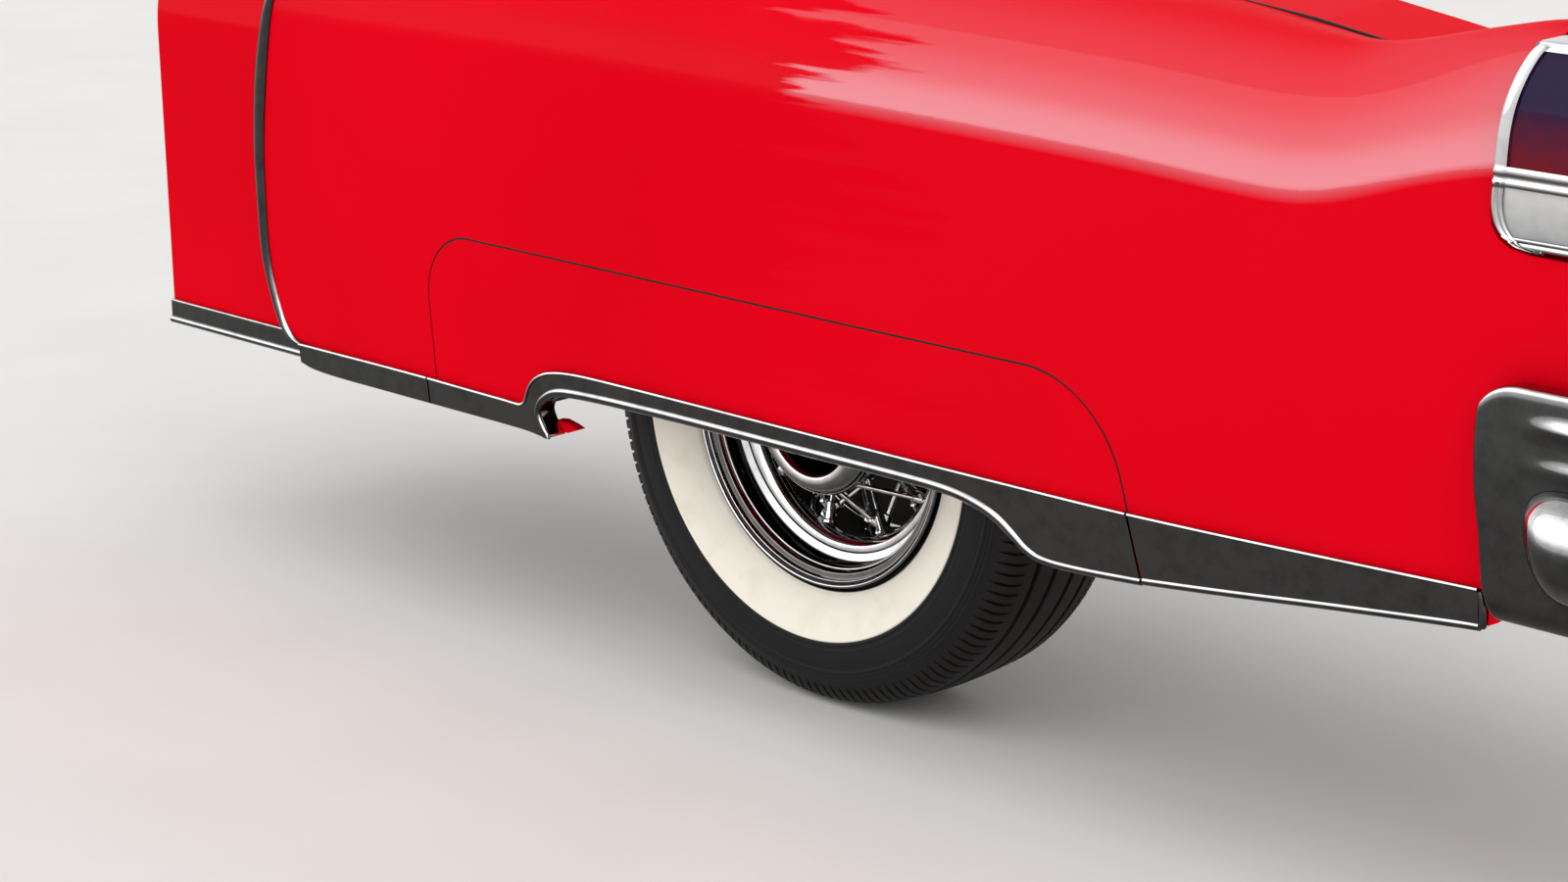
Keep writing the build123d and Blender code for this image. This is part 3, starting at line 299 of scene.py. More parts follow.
def makeLens(name, code, dark, density, values):
    material, tree, shader, place = newMaterial(name, Roughness=0.12, IOR=1.45, Transmission_Weight=density,
                                                Specular_IOR_Level=0.15, Coat_Weight=values["coat"],
                                                Coat_Roughness=0.02)
    height = addNode(tree, "ShaderNodeSeparateXYZ", {"Vector": place}).outputs["Z"]
    cloud = addNode(tree, "ShaderNodeTexNoise", {"Vector": place},
                    {"Scale": 1000 / lensRibs["cloudMillimetres"], "Detail": 3.0})
    waver = addNode(tree, "ShaderNodeMath", {0: cloud.outputs["Fac"], 2: height}, {1: 0.03},
                    operation="MULTIPLY_ADD")
    low, high = values["span"]
    fade = addNode(tree, "ShaderNodeMapRange", {"Value": waver.outputs["Value"]},
                   {"From Min": low, "From Max": high})
    # Painted shade and reflection: the lens colour changes with height from its own colour to the painted
    # upper tone
    tint = addRamp(tree, fade.outputs["Result"], [(0.0, colour(code)), (1.0, colour(dark))])
    # A wave texture turns through 20 radians in one unit
    rib = addNode(tree, "ShaderNodeTexWave", {"Vector": place},
                  {"Scale": 1000 * 2 * pi / 20 / lensRibs["pitchMillimetres"]}, bands_direction="Z",
                  wave_profile="SIN")
    bump = addNode(tree, "ShaderNodeBump", {"Height": rib.outputs["Fac"]},
                   {"Strength": 0.1, "Distance": lensRibs["ribHeight"]})
    feed(tree, shader, Base_Color=tint, Normal=bump.outputs["Normal"])
    return material


paint = makePaint(bodyPaint)
chrome = makeChrome("chromePlate", chromePlate)
bezelPlate = makeChrome("bezelChrome", bezelChrome)
# The rim's conical band and deep well are painted dark: painted shade and dark reflection
rimChrome = makeChrome("rimChrome", brightChrome,
                       [(0.0, 1.0), (0.1845, 1.0), (0.1855, 0.04), (0.1883, 0.04), (0.189, 1.0),
                        (0.1915, 1.0), (0.1922, 0.22), (0.2005, 0.34), (0.2012, 1.0), (0.204, 1.0),
                        (0.2046, 0.15), (0.2056, 0.15), (0.2062, 1.0), (0.2105, 1.0), (0.2115, 0.1),
                        (0.25, 0.1)])
# Spokes get painted reflection tones by how far each face turns up
wireChrome = makeChrome("wireChrome",
                        {"film": "A9A9A8", "filmMillimetres": 8.0,
                         "paintedReflectionTones": [(-1.0, 0.2), (-0.2, 0.3), (0.1, 0.6), (0.4, 0.95), (1.0, 0.8)]})
# The hub cap's bowl is painted near black inside 60 mm: painted shade
capChrome = makeChrome("capChrome", brightChrome,
                       [(0.0, 0.02), (0.0605, 0.02), (0.064, 0.3), (0.067, 1.0), (0.25, 1.0)])
enamel = makeEnamel("chassisEnamel", underbodyPaint["black"], underbodyPaint["dust"],
                    underbodyPaint["dustMillimetres"], 0.45)
bareSteel = makeEnamel("bareSteel", "9A9CA0", "6C6660", 12.0, 0.3, 1.0)
# The drum is painted near black: painted shade for the dark inside of the wheel behind the spokes
shadedDrum = makeEnamel("castIronDrumPaintedShade", "1C1B1A", "2E2620", 9.0, 0.6, 0.2)
sealRubber = makeEnamel("sealRubber", "121213", "26241F", 20.0, 0.6)
rubber = makeTyre(tyreRubber)
redLens = makeLens("redLens", "7A0010", "22103A", 0.05, {"span": (0.475, 0.545), "coat": 0.08})
clearLens = makeLens("clearLens", "A9ACAE", "EFEFEC", 0.3, {"span": (0.4, 0.46), "coat": 0.6})
slotMaterials = {"body_paint": paint, "chrome_plate": chrome, "dark_underbody": enamel,
                 "bare_steel": bareSteel, "cast_drum": shadedDrum, "seal_rubber": sealRubber,
                 "tyre_rubber": rubber, "red_lens": redLens, "clear_lens": clearLens}
for entry in frame["record"]["subparts"]:
    item = nodes[entry["node"]]
    item.data.materials.clear()
    item.data.materials.append(slotMaterials[entry["material_slot"]])
print("materials made")

# Mesh helpers


def looseObject(name, points, faces):
    mesh = bpy.data.meshes.new(name)
    mesh.from_pydata([tuple(p) for p in points], [], faces)
    return linked(name, mesh)


def newPiece(name, points, faces, material, body, slotName, *stands, sharp=38.0):
    item = looseObject(name, points, faces)
    item.data.materials.append(material)
    tidyMesh(item.data, sharp)
    return dressPiece(item, body, slotName, *stands)


def tidyMesh(mesh, sharp):
    work = bmesh.new()
    work.from_mesh(mesh)
    bmesh.ops.remove_doubles(work, verts=work.verts, dist=1e-6)
    bmesh.ops.recalc_face_normals(work, faces=work.faces)
    for face in work.faces:
        face.smooth = True
    for edge in work.edges:
        if len(edge.link_faces) == 2 and edge.calc_face_angle(0) > radians(sharp):
            edge.smooth = False
    work.to_mesh(mesh)
    work.free()


def dressPiece(item, body, slotName, *stands):
    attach(item, body)
    if stands:
        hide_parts(*stands)
    return item


def gridFaces(rows, columns, closeRows=False, closeColumns=False):
    faces = []
    for i in range(rows if closeRows else rows - 1):
        for j in range(columns if closeColumns else columns - 1):
            a, b = (i + 1) % rows, (j + 1) % columns
            faces.append((i * columns + j, i * columns + b, a * columns + b, a * columns + j))
    return faces


def ribbonFaces(rows, ring):
    # Faces of a closed bar of rows, each a ring of points, with both ends capped
    return (gridFaces(rows, ring, False, True)
            + [tuple(range(ring - 1, -1, -1)), tuple(ring * (rows - 1) + k for k in range(ring))])


def circle(count):
    # Cosine and sine of evenly spaced turns
    return [(cos(2 * pi * k / count), sin(2 * pi * k / count)) for k in range(count)]


def rounded(points, radius, steps=4):
    # Rounds the corners of a closed outline
    result = []
    count = len(points)
    for index in range(count):
        before, here, after = (Vector(points[(index + k) % count]) for k in (-1, 0, 1))
        a, b = (before - here), (after - here)
        cut = min(radius, a.length * 0.45, b.length * 0.45)
        start, end = here + a.normalized() * cut, here + b.normalized() * cut
        for k in range(steps + 1):
            t = k / steps
            result.append(tuple(start * (1 - t) ** 2 + here * 2 * t * (1 - t) + end * t * t))
    return result


def turnedMesh(profile, segments):
    # Points and faces of a closed profile of y, radius pairs, turned about the wheel's axis
    points = [(r * c, y, r * s) for c, s in circle(segments) for y, r in profile]
    return points, gridFaces(segments, len(profile), True, True)


def evaluated(item):
    graph = bpy.context.evaluated_depsgraph_get()
    return bpy.data.meshes.new_from_object(item.evaluated_get(graph))


def addPrism(name, outline, yLow, yHigh):
    # A solid from a side-view outline of x, z points
    count = len(outline)
    points = [(x, yLow, z) for x, z in outline] + [(x, yHigh, z) for x, z in outline]
    faces = [tuple(range(count)), tuple(range(2 * count - 1, count - 1, -1))]
    faces += [(k, (k + 1) % count, (k + 1) % count + count, k + count) for k in range(count)]
    item = looseObject(name, points, faces)
    tidyMesh(item.data, 30)
    return item


def cutMesh(item, cutters):
    # Booleans in turn, each cutter with its operation, with the result left as a plain mesh
    for cutter, operation in cutters:
        modifier = item.modifiers.new("cut", "BOOLEAN")
        modifier.object = cutter
        modifier.operation = operation
        modifier.solver = "EXACT"
        result = evaluated(item)
        item.modifiers.clear()
        item.data = result
    for cutter, operation in cutters:
        if cutter.name in bpy.data.objects and cutter.users_collection:
            bpy.data.objects.remove(cutter)


def finishCut(item, material, sharp):
    # A cut mesh gets its one material and clean edges
    item.data.materials.clear()
    item.data.materials.append(material)
    tidyMesh(item.data, sharp)


# Fender form: the places and heights of the part's source, with a rounder shoulder

fender = {
    "front": -0.95, "tail": 1.33, "side": -0.805, "foot": -0.12, "waist": 0.1,
    "shoulderDrop": 0.131, "shoulderInset": 0.012, "wall": 0.0016, "flange": 0.04,
    "rows": 230, "softening": 0.05,
    "stations": (
        (-0.95, -0.805, -0.715, 0.560, -0.615, 0.548), (-0.4, -0.805, -0.712, 0.566, -0.615, 0.558),
        (0.15, -0.805, -0.700, 0.564, -0.615, 0.568), (0.55, -0.802, -0.690, 0.558, -0.615, 0.570),
        (0.7, -0.796, -0.680, 0.551, -0.615, 0.555), (0.8, -0.789, -0.674, 0.547, -0.615, 0.540),
        (0.88, -0.783, -0.686, 0.559, -0.626, 0.527), (0.96, -0.777, -0.697, 0.577, -0.640, 0.514),
        (1.07, -0.768, -0.712, 0.590, -0.664, 0.502), (1.2, -0.759, -0.710, 0.540, -0.668, 0.460),
        (1.33, -0.739, -0.704, 0.296, -0.668, 0.270)),
}


def stationTable(values):
    # Smooth table of section values along the fender: Hermite curve, then a soft filter
    rows = np.array(values["stations"])
    x = np.linspace(values["front"], values["tail"], values["rows"])
    table = [x]
    width = rows[1:, 0] - rows[:-1, 0]
    for column in range(1, 6):
        v = rows[:, column]
        steps = (v[1:] - v[:-1]) / width
        slopes = np.zeros(len(v))
        for k in range(1, len(v) - 1):
            a, b = steps[k - 1], steps[k]
            slopes[k] = 2 * a * b / (a + b) if a * b > 0 else 0.0
        k = np.clip(np.searchsorted(rows[:, 0], x, side="right") - 1, 0, len(v) - 2)
        t = (x - rows[k, 0]) / width[k]
        line = ((1 + 2 * t) * (1 - t) ** 2 * v[k] + t * (1 - t) ** 2 * width[k] * slopes[k]
                + t * t * (3 - 2 * t) * v[k + 1] - t * t * (1 - t) * width[k] * slopes[k + 1])
        pitch = x[1] - x[0]
        reach = int(2 * values["softening"] / pitch)
        kernel = np.exp(-0.5 * (np.arange(-reach, reach + 1) * pitch / (values["softening"] / 2)) ** 2)
        padded = np.concatenate([2 * line[0] - line[reach:0:-1], line, 2 * line[-1] - line[-2:-reach - 2:-1]])
        table.append(np.convolve(padded, kernel / kernel.sum(), mode="valid"))
    return np.array(table).T


def tangentArc(start, tangent, end, steps):
    # Points of an arc from start, leaving along tangent, to end; also its last tangent
    chord = end - start
    side = tangent[0] * chord[1] - tangent[1] * chord[0]
    angle = np.arctan2(side, tangent @ chord)
    points = []
    for k in range(1, steps + 1):
        turn = angle * k / steps
        spin = np.array([[cos(turn), -sin(turn)], [sin(turn), cos(turn)]])
        reach = np.linalg.norm(chord) * (sin(turn) / sin(angle) if abs(angle) > 1e-6 else k / steps)
        points.append(start + spin @ tangent * reach)
    spin = np.array([[cos(2 * angle), -sin(2 * angle)], [sin(2 * angle), cos(2 * angle)]])
    return points, spin @ tangent


def fenderSection(row, values):
    # Section points of y, z from the foot over the crest to the flange
    x, side, crestY, crestZ, weltY, weltZ = row
    waist = np.array([side, values["waist"]])
    shoulder = np.array([side + values["shoulderInset"], crestZ - values["shoulderDrop"]])
    crest = np.array([crestY, crestZ])
    welt = np.array([weltY, weltZ])
    points = [np.array([side, z]) for z in np.linspace(values["foot"], values["waist"], 12)]
    run, tangent = tangentArc(waist, np.array([0.0, 1.0]), shoulder, 18)
    points += run
    run, tangent = tangentArc(shoulder, tangent, crest, 20)
    points += run
    run, tangent = tangentArc(crest, tangent, welt, 12)
    points += run
    count = len(points)
    for turn in range(10):
        old = list(points)
        for k in range(13, count - 1):
            points[k] = old[k] * 0.5 + (old[k - 1] + old[k + 1]) * 0.25
    points += [np.array([weltY + 0.0004, weltZ - d]) for d in (0.003, 0.012, values["flange"])]
    return points


fenderTable = stationTable(fender)
fenderGrid = np.array([[(row[0], y, z) for y, z in fenderSection(row, fender)] for row in fenderTable])


def sideAt(x):
    return float(np.interp(x, fenderTable[:, 0], fenderTable[:, 1]))


def gridNormals(grid):
    along = np.gradient(grid, axis=0)
    over = np.gradient(grid, axis=1)
    normal = np.cross(over, along)
    normal /= np.linalg.norm(normal, axis=2, keepdims=True) + 1e-12
    if normal[len(grid) // 2, 5, 1] > 0:
        normal = -normal
    return normal


fenderNormals = gridNormals(fenderGrid)


def shellMesh(name, grid, normals, wall):
    # A closed thin shell: the outer grid, its copy one wall further in and the edges between them
    rows, columns = grid.shape[:2]
    inner = grid - normals * wall
    points = [tuple(p) for p in grid.reshape(-1, 3)] + [tuple(p) for p in inner.reshape(-1, 3)]
    count = rows * columns
    outerFaces = gridFaces(rows, columns)
    faces = outerFaces + [tuple(k + count for k in reversed(f)) for f in outerFaces]
    border = [j for j in range(columns)] + [i * columns + columns - 1 for i in range(1, rows)]
    border += [(rows - 1) * columns + j for j in range(columns - 2, -1, -1)]
    border += [i * columns for i in range(rows - 2, 0, -1)]
    for a, b in zip(border, border[1:] + border[:1]):
        faces.append((a, b, b + count, a + count))
    item = looseObject(name, points, faces)
    work = bmesh.new()
    work.from_mesh(item.data)
    bmesh.ops.recalc_face_normals(work, faces=work.faces)
    work.to_mesh(item.data)
    work.free()
    return item


skirt = {"front": -0.604, "rear": 0.566, "top": 0.172, "frontRadius": 0.085, "rearRadius": 0.15,
         "frontLean": 0.028, "rearLean": 0.091, "gap": 0.003, "foot": -0.15}


def skirtOutline(values, shrink):
    front, rear, top = values["front"] + shrink, values["rear"] - shrink, values["top"] - shrink
    corners = [((front + values["frontLean"], values["foot"]), 0),
               ((rear + values["rearLean"], values["foot"]), 0), ((rear, top), values["rearRadius"] - shrink),
               ((front, top), values["frontRadius"] - shrink)]
    outline = []
    for k, (corner, radius) in enumerate(corners):
        if not radius:
            outline.append(corner)
            continue
        here = Vector(corner)
        before, after = Vector(corners[k - 1][0]), Vector(corners[(k + 1) % 4][0])
        a, b = (before - here).normalized(), (after - here).normalized()
        half = acos(max(-1.0, min(1.0, a @ b))) / 2
        reach = radius / tan(half)
        start, end = here + a * reach, here + b * reach
        centre = here + (a + b).normalized() * radius / sin(half)
        first, last = start - centre, end - centre
        turn = first.angle_signed(last)
        for step in range(25):
            angle = -turn * step / 24
            x = first.x * cos(angle) - first.y * sin(angle)
            z = first.x * sin(angle) + first.y * cos(angle)
            outline.append(tuple(centre + Vector((x, z))))
    return outline


lowerLine = [(-1.0, -0.042), (-0.868, -0.048), (-0.604, -0.0545), (-0.338, -0.056), (0.459, -0.05),
             (0.66, -0.039), (0.86, -0.0205), (1.02, -0.006), (1.058, -0.004), (1.068, 0.001), (1.084, 0.016),
             (1.4, 0.035)]
openingLine = [(-0.36, -0.2), (-0.38, -0.054), (-0.3835, -0.043), (-0.3845, -0.034), (-0.379, -0.018),
               (-0.364, -0.006), (-0.345, 0.0015), (-0.322, 0.0055), (-0.28, 0.008), (-0.1, 0.0105),
               (0.309, 0.0105), (0.352, 0.0075), (0.39, 0.0005), (0.416, -0.009), (0.437, -0.0225),
               (0.456, -0.036), (0.476, -0.0465), (0.51, -0.2)]
lampFront = [(1.067, 0.575), (1.058, 0.555), (1.05, 0.53), (1.0455, 0.505), (1.043, 0.48), (1.041, 0.458),
             (1.037, 0.441), (1.036, 0.422), (1.039, 0.405), (1.047, 0.393), (1.06, 0.385)]
lampNotch = [(1.075, 0.68), (1.076, 0.594)] + lampFront + [(1.085, 0.3805), (1.196, 0.376), (1.4, 0.18),
                                                           (1.4, 0.68)]
frontCut = [(-1.0, -0.02), (-0.914, -0.02), (-0.933, 0.017), (-0.954, 0.083), (-0.959, 0.151),
            (-0.963, 0.232), (-0.96, 0.314), (-0.951, 0.375), (-0.935, 0.436), (-0.91, 0.5), (-0.882, 0.552),
            (-0.87, 0.62), (-1.0, 0.62)]
cornerCut = [(-1.0, -0.12), (-0.868, -0.12), (-0.868, -0.034), (-0.905, -0.022), (-0.93, 0.004),
             (-0.944, 0.04), (-1.0, 0.04)]


wholeSide = (-0.9, -0.55)  # Y from outside the skin to behind its flange


def lowerCutter():
    return addPrism("lowerCut", lowerLine + [(1.4, -0.3), (-1.0, -0.3)], *wholeSide)


fenderSkin = shellMesh("rearFenderSkin", fenderGrid, fenderNormals, fender["wall"])
cutMesh(fenderSkin,
        [(lowerCutter(), "DIFFERENCE"),
         (addPrism("skirtCut", skirtOutline(skirt, 0.0), -0.9, -0.74), "DIFFERENCE"),
         (addPrism("lampCut", lampNotch, *wholeSide), "DIFFERENCE"),
         (addPrism("frontCut", frontCut, *wholeSide), "DIFFERENCE"),
         (addPrism("cornerCut", cornerCut, -0.9, -0.77), "DIFFERENCE")])
skirtSkin = shellMesh("wheelSkirtSkin", fenderGrid[:, :20], fenderNormals[:, :20], fender["wall"])
cutMesh(skirtSkin,
        [(addPrism("skirtKeep", skirtOutline(skirt, skirt["gap"]), -0.9, -0.7), "INTERSECT"),
         (addPrism("openingCut", openingLine, -0.9, -0.7), "DIFFERENCE"), (lowerCutter(), "DIFFERENCE")])
for item, node in ((fenderSkin, "rear_fender"), (skirtSkin, "wheel_skirt")):
    finishCut(item, paint, 30)
    dressPiece(item, "quarter", "body_paint", node)
    print(item.name, len(item.data.polygons), "faces")

# The fender's tail is a closed box behind its skin: the solid's inner wall, lamp seat and tail wall

tailBox = {"start": 0.802, "end": 1.35, "inset": 0.0022, "drop": 0.004, "past": -0.56, "low": -0.14}


def tailSpace(values):
    # The space just inside the skin, open toward the middle of the car
    rings = []
    for row, normals in zip(fenderGrid, fenderNormals):
        if row[0, 0] < values["start"]:
            continue
        ring = row[:-4] - normals[:-4] * values["inset"]
        level = row[-4, 2] - values["drop"]
        ring = [(y, z) for x, y, z in ring] + [(row[-4, 1], level)]
        ring += [(values["past"], level), (values["past"], values["low"])]
        rings.append([(row[0, 0], y, z) for y, z in ring])
    rings[0] = [(values["start"], y, z) for x, y, z in rings[0]]
    rings.append([(values["end"], y, z) for x, y, z in rings[-1]])
    count, size = len(rings), len(rings[0])
    faces = gridFaces(count, size, False, True)
    faces += [tuple(range(size)), tuple(range((count - 1) * size, count * size))[::-1]]
    item = looseObject("tailSpace", [point for ring in rings for point in ring], faces)
    tidyMesh(item.data, 30)
    return item


tail = linked("fenderTailBox", nodes["rear_fender"].data.copy())
tidyMesh(tail.data, 30)
cutMesh(tail, [(tailSpace(tailBox), "INTERSECT"), (lowerCutter(), "DIFFERENCE")])
finishCut(tail, paint, 30)
dressPiece(tail, "quarter", "body_paint")
print(tail.name, len(tail.data.polygons), "faces")

# Two inner pieces keep their solid's form, with the foot raised behind the mouldings that cover it


def raiseFoot(name, node, slotName, level, rise):
    item = linked(name, nodes[node].data.copy())
    for vertex in item.data.vertices:
        if vertex.co.z < level:
            vertex.co.z += rise
    dressPiece(item, "quarter", slotName, node)


raiseFoot("lockPillarPanel", "lock_pillar_panel", "body_paint", -0.06, 0.008)
raiseFoot("sillBox", "sill_box", "dark_underbody", -0.05, 0.014)

# Turned wheel pieces

wheel = {"middle": -0.6, "segments": 220,
         "rim": [(-76, 194), (-70, 190.5), (-48, 189.5), (-40, 168), (28, 167), (40, 188), (70, 190.5),
                 (76, 194), (76, 208), (77, 211), (81, 211.5), (84, 209), (80, 200), (76, 188), (44, 183),
                 (34, 162), (26, 157), (-24, 157), (-31, 158), (-38, 161.5), (-43, 168), (-44, 174),
                 (-42, 180), (-38, 184), (-38, 186.5), (-62, 186.8), (-66, 187.6), (-69, 189), (-69.5, 190.6),
                 (-68, 192), (-74, 200.5), (-77, 201), (-80.5, 201.6), (-82, 202.8), (-81, 204.2),
                 (-79.5, 204.8), (-79.5, 205.4), (-81.5, 205.8), (-85, 206.8), (-86.2, 208.6), (-84.5, 210.8),
                 (-80, 212), (-76.5, 211.4)],
         "cap": [(-68.3, 94), (-77, 95.5), (-87, 92.5), (-95, 85), (-98.3, 77), (-97, 69), (-92, 65),
                 (-62, 60), (-52, 50), (-50, 2), (-47, 2), (-49, 52), (-60, 63), (-91, 68), (-94, 72),
                 (-95, 76), (-92, 82), (-85, 89), (-76, 91), (-68.3, 90)]}


def wheelProfile(points, radius, steps):
    soft = rounded([(y / 1000, r / 1000) for y, r in points], radius, steps)
    return [(wheel["middle"] + y, r) for y, r in soft]


newPiece("wheelRim", *turnedMesh(wheelProfile(wheel["rim"], 0.0016, 3), wheel["segments"]), rimChrome,
         "wheel", "chrome_plate", "wheel_rim")
newPiece("hubCap", *turnedMesh(wheelProfile(wheel["cap"], 0.006, 4), 160), capChrome, "wheel", "chrome_plate",
         "hub_cap")

# Tyre carcass with side ribs and tread grooves

tyre = {"radius": 0.3625, "half": 0.109, "bulge": 0.276, "segments": 240, "whiteRise": 0.0012,
        "ribs": [(0.2155, 0.0016, 0.0014), (0.2765, 0.0016, 0.0022), (0.2845, 0.0006, 0.001),
                 (0.312, 0.0016, 0.0024), (0.3175, 0.001, 0.0014), (0.3225, 0.001, 0.0014)],
        "grooves": [(-0.05, 0.006), (-0.018, 0.005), (0.018, 0.005), (0.05, 0.006)], "grooveDepth": 0.009,
        "lugs": 150, "lugRise": 0.0026, "lugWidth": 0.8, "lugSlant": 0.012, "lugFrom": 0.0985,
        "lugRun": 0.029, "whiteSpan": (0.2185, 0.2725)}


def circleThrough(a, b, c):
    ax, ay, bx, by, cx, cy = *a, *b, *c
    d = 2 * (ax * (by - cy) + bx * (cy - ay) + cx * (ay - by))
    aa, bb, cc = ax * ax + ay * ay, bx * bx + by * by, cx * cx + cy * cy
    ux = (aa * (by - cy) + bb * (cy - ay) + cc * (ay - by)) / d
    uy = (aa * (cx - bx) + bb * (ax - cx) + cc * (bx - ax)) / d
    return ux, uy, hypot(ax - ux, ay - uy)


def tyreSide(values, r):
    # Half width of the sidewall at a radius, with its ribs
    ux, uy, size = circleThrough((0.0757, 0.213), (values["half"], values["bulge"]),
                                 (0.09, values["radius"] - 0.017))
    half = ux + sqrt(max(size * size - (r - uy) ** 2, 0))
    start, end = values["whiteSpan"]
    if start < r < end:
        half += values["whiteRise"]
    for place, rise, width in values["ribs"]:
        half += rise * max(0.0, 1 - ((r - place) / width) ** 2)
    return half


def tyreProfile(values):
    outer = [(-0.0757, 0.197), (-0.0757, 0.2125)]
    for r in np.concatenate([np.arange(0.2135, 0.3255, 0.00115), np.arange(0.3265, 0.3385, 0.004)]):
        outer.append((-tyreSide(values, r) + 0.0005, r))
    rise = values["lugRise"]
    top = values["radius"]
    outer += [(-0.0925 + rise, top - 0.020), (-0.088 + rise, top - 0.0135),
              (-0.08 + rise * 0.5, top - 0.0085)]
    tread = []
    for y in np.arange(-0.068, 0.0685, 0.002):
        r = values["radius"] - 0.005 * (y / 0.074) ** 2
        for place, width in values["grooves"]:
            if abs(y - place) < width / 2 + 1e-6:
                r -= values["grooveDepth"]
        tread.append((y, r))
    inner = [(-y, r) for y, r in outer[::-1]]
    foot = [(0.062, 0.1945), (0.058, 0.214), (-0.058, 0.214), (-0.062, 0.1945)]
    return [(wheel["middle"] + y, r) for y, r in outer + tread + inner + foot]


newPiece("whitewallTyre", *turnedMesh(tyreProfile(tyre), tyre["segments"]), rubber, "wheel", "tyre_rubber",
         "whitewall_tyre", sharp=50)

# Repeats made with Geometry Nodes


def ringTree(name, material):
    # Copies of a piece, turned evenly about the wheel's axis
    tree = bpy.data.node_groups.new(name, "GeometryNodeTree")
    for label, kind in (("Geometry", "Geometry"), ("Copies", "Int"), ("First angle", "Float"),
                        ("Seed", "Int"), ("Angle scatter", "Float")):
        tree.interface.new_socket(label, in_out="INPUT", socket_type="NodeSocket" + kind)
    tree.interface.new_socket("Geometry", in_out="OUTPUT", socket_type="NodeSocketGeometry")
    given = addNode(tree, "NodeGroupInput")
    spots = addNode(tree, "GeometryNodePoints", {"Count": given.outputs["Copies"]})
    number = addNode(tree, "GeometryNodeInputIndex")
    share = addNode(tree, "ShaderNodeMath", {0: number.outputs["Index"], 1: given.outputs["Copies"]},
                    operation="DIVIDE")
    turn = addNode(tree, "ShaderNodeMath", {0: share.outputs["Value"], 2: given.outputs["First angle"]},
                   {1: 2 * pi}, operation="MULTIPLY_ADD")
    stray = addNode(tree, "FunctionNodeRandomValue", {"Seed": given.outputs["Seed"]}, {2: -1.0, 3: 1.0})
    total = addNode(tree, "ShaderNodeMath",
                    {0: stray.outputs[1], 1: given.outputs["Angle scatter"], 2: turn.outputs["Value"]},
                    operation="MULTIPLY_ADD")
    spin = addNode(tree, "ShaderNodeCombineXYZ", {"Y": total.outputs["Value"]})
    copies = addNode(tree, "GeometryNodeInstanceOnPoints",
                     {"Points": spots.outputs[0], "Instance": given.outputs["Geometry"],
                      "Rotation": spin.outputs["Vector"]})
    real = addNode(tree, "GeometryNodeRealizeInstances", {"Geometry": copies.outputs["Instances"]})
    finish = addNode(tree, "GeometryNodeSetMaterial", {"Geometry": real.outputs["Geometry"]},
                     {"Material": material})
    addNode(tree, "NodeGroupOutput", {"Geometry": finish.outputs["Geometry"]})
    return tree


def ringOf(name, points, faces, material, inputs, sharp=38.0):
    # Plain mesh of a piece repeated round the wheel
    item = looseObject(name, points, faces)
    tidyMesh(item.data, sharp)
    modifier = item.modifiers.new("ring", "NODES")
    tree = ringTree(name + "Tree", material)
    modifier.node_group = tree
    for socket in tree.interface.items_tree:
        if socket.in_out == "INPUT" and socket.name in inputs:
            modifier[socket.identifier] = inputs[socket.name]
    result = evaluated(item)
    bpy.data.objects.remove(item)
    return result


def joinMeshes(name, meshes, material, body, slotName, *stands):
    work = bmesh.new()
    for mesh in meshes:
        work.from_mesh(mesh)
    whole = bpy.data.meshes.new(name)
    work.to_mesh(whole)
    work.free()
    whole.materials.append(material)
    return dressPiece(linked(name, whole), body, slotName, *stands)


def rodMesh(rings, sides):
    # A closed rod from centre, direction and radius at each ring
    points = []
    for centre, along, radius in rings:
        across = along.orthogonal().normalized()
        other = along.cross(across)
        points += [centre + (across * c + other * s) * radius for c, s in circle(sides)]
    return points, ribbonFaces(len(rings), sides)


spokes = {"perRow": 10, "hubRadius": 0.087, "rimRadius": 0.158, "radius": 0.0034, "nipple": 0.0066,
          "nippleLength": 0.027, "sides": 10,
          "rows": ((-0.054, -0.004, 34, 0), (-0.054, 0.006, -34, 18), (0.018, -0.022, 30, 9),
                   (0.018, -0.012, -30, 27))}


def spokeMeshes(values):
    meshes = []
    for number, (hubY, rimY, lean, first) in enumerate(values["rows"]):
        b = radians(lean)
        start = Vector((values["hubRadius"] - 0.002, wheel["middle"] + hubY, 0))
        end = Vector((values["rimRadius"] * cos(b), wheel["middle"] + rimY, values["rimRadius"] * sin(b)))
        along = (end - start).normalized()
        nippleStart = end - along * values["nippleLength"]
        thin, fat = values["radius"], values["nipple"]
        rings = [(start, along, thin * 1.5), (start + along * 0.006, along, thin * 1.3),
                 (start + along * 0.01, along, thin), (nippleStart, along, thin),
                 (nippleStart, along, fat * 0.7), (nippleStart + along * 0.002, along, fat),
                 (end - along * 0.004, along, fat), (end - along * 0.002, along, fat * 1.35),
                 (end + along * 0.001, along, fat * 1.35)]
        meshes.append(ringOf(f"spokeRow{number}", *rodMesh(rings, values["sides"]), wireChrome,
                             {"Copies": values["perRow"], "First angle": radians(-first), "Seed": 3,
                              "Angle scatter": 0.0}))
    return meshes


joinMeshes("wireSpokes", spokeMeshes(spokes), wireChrome, "wheel", "chrome_plate", "wire_spokes")


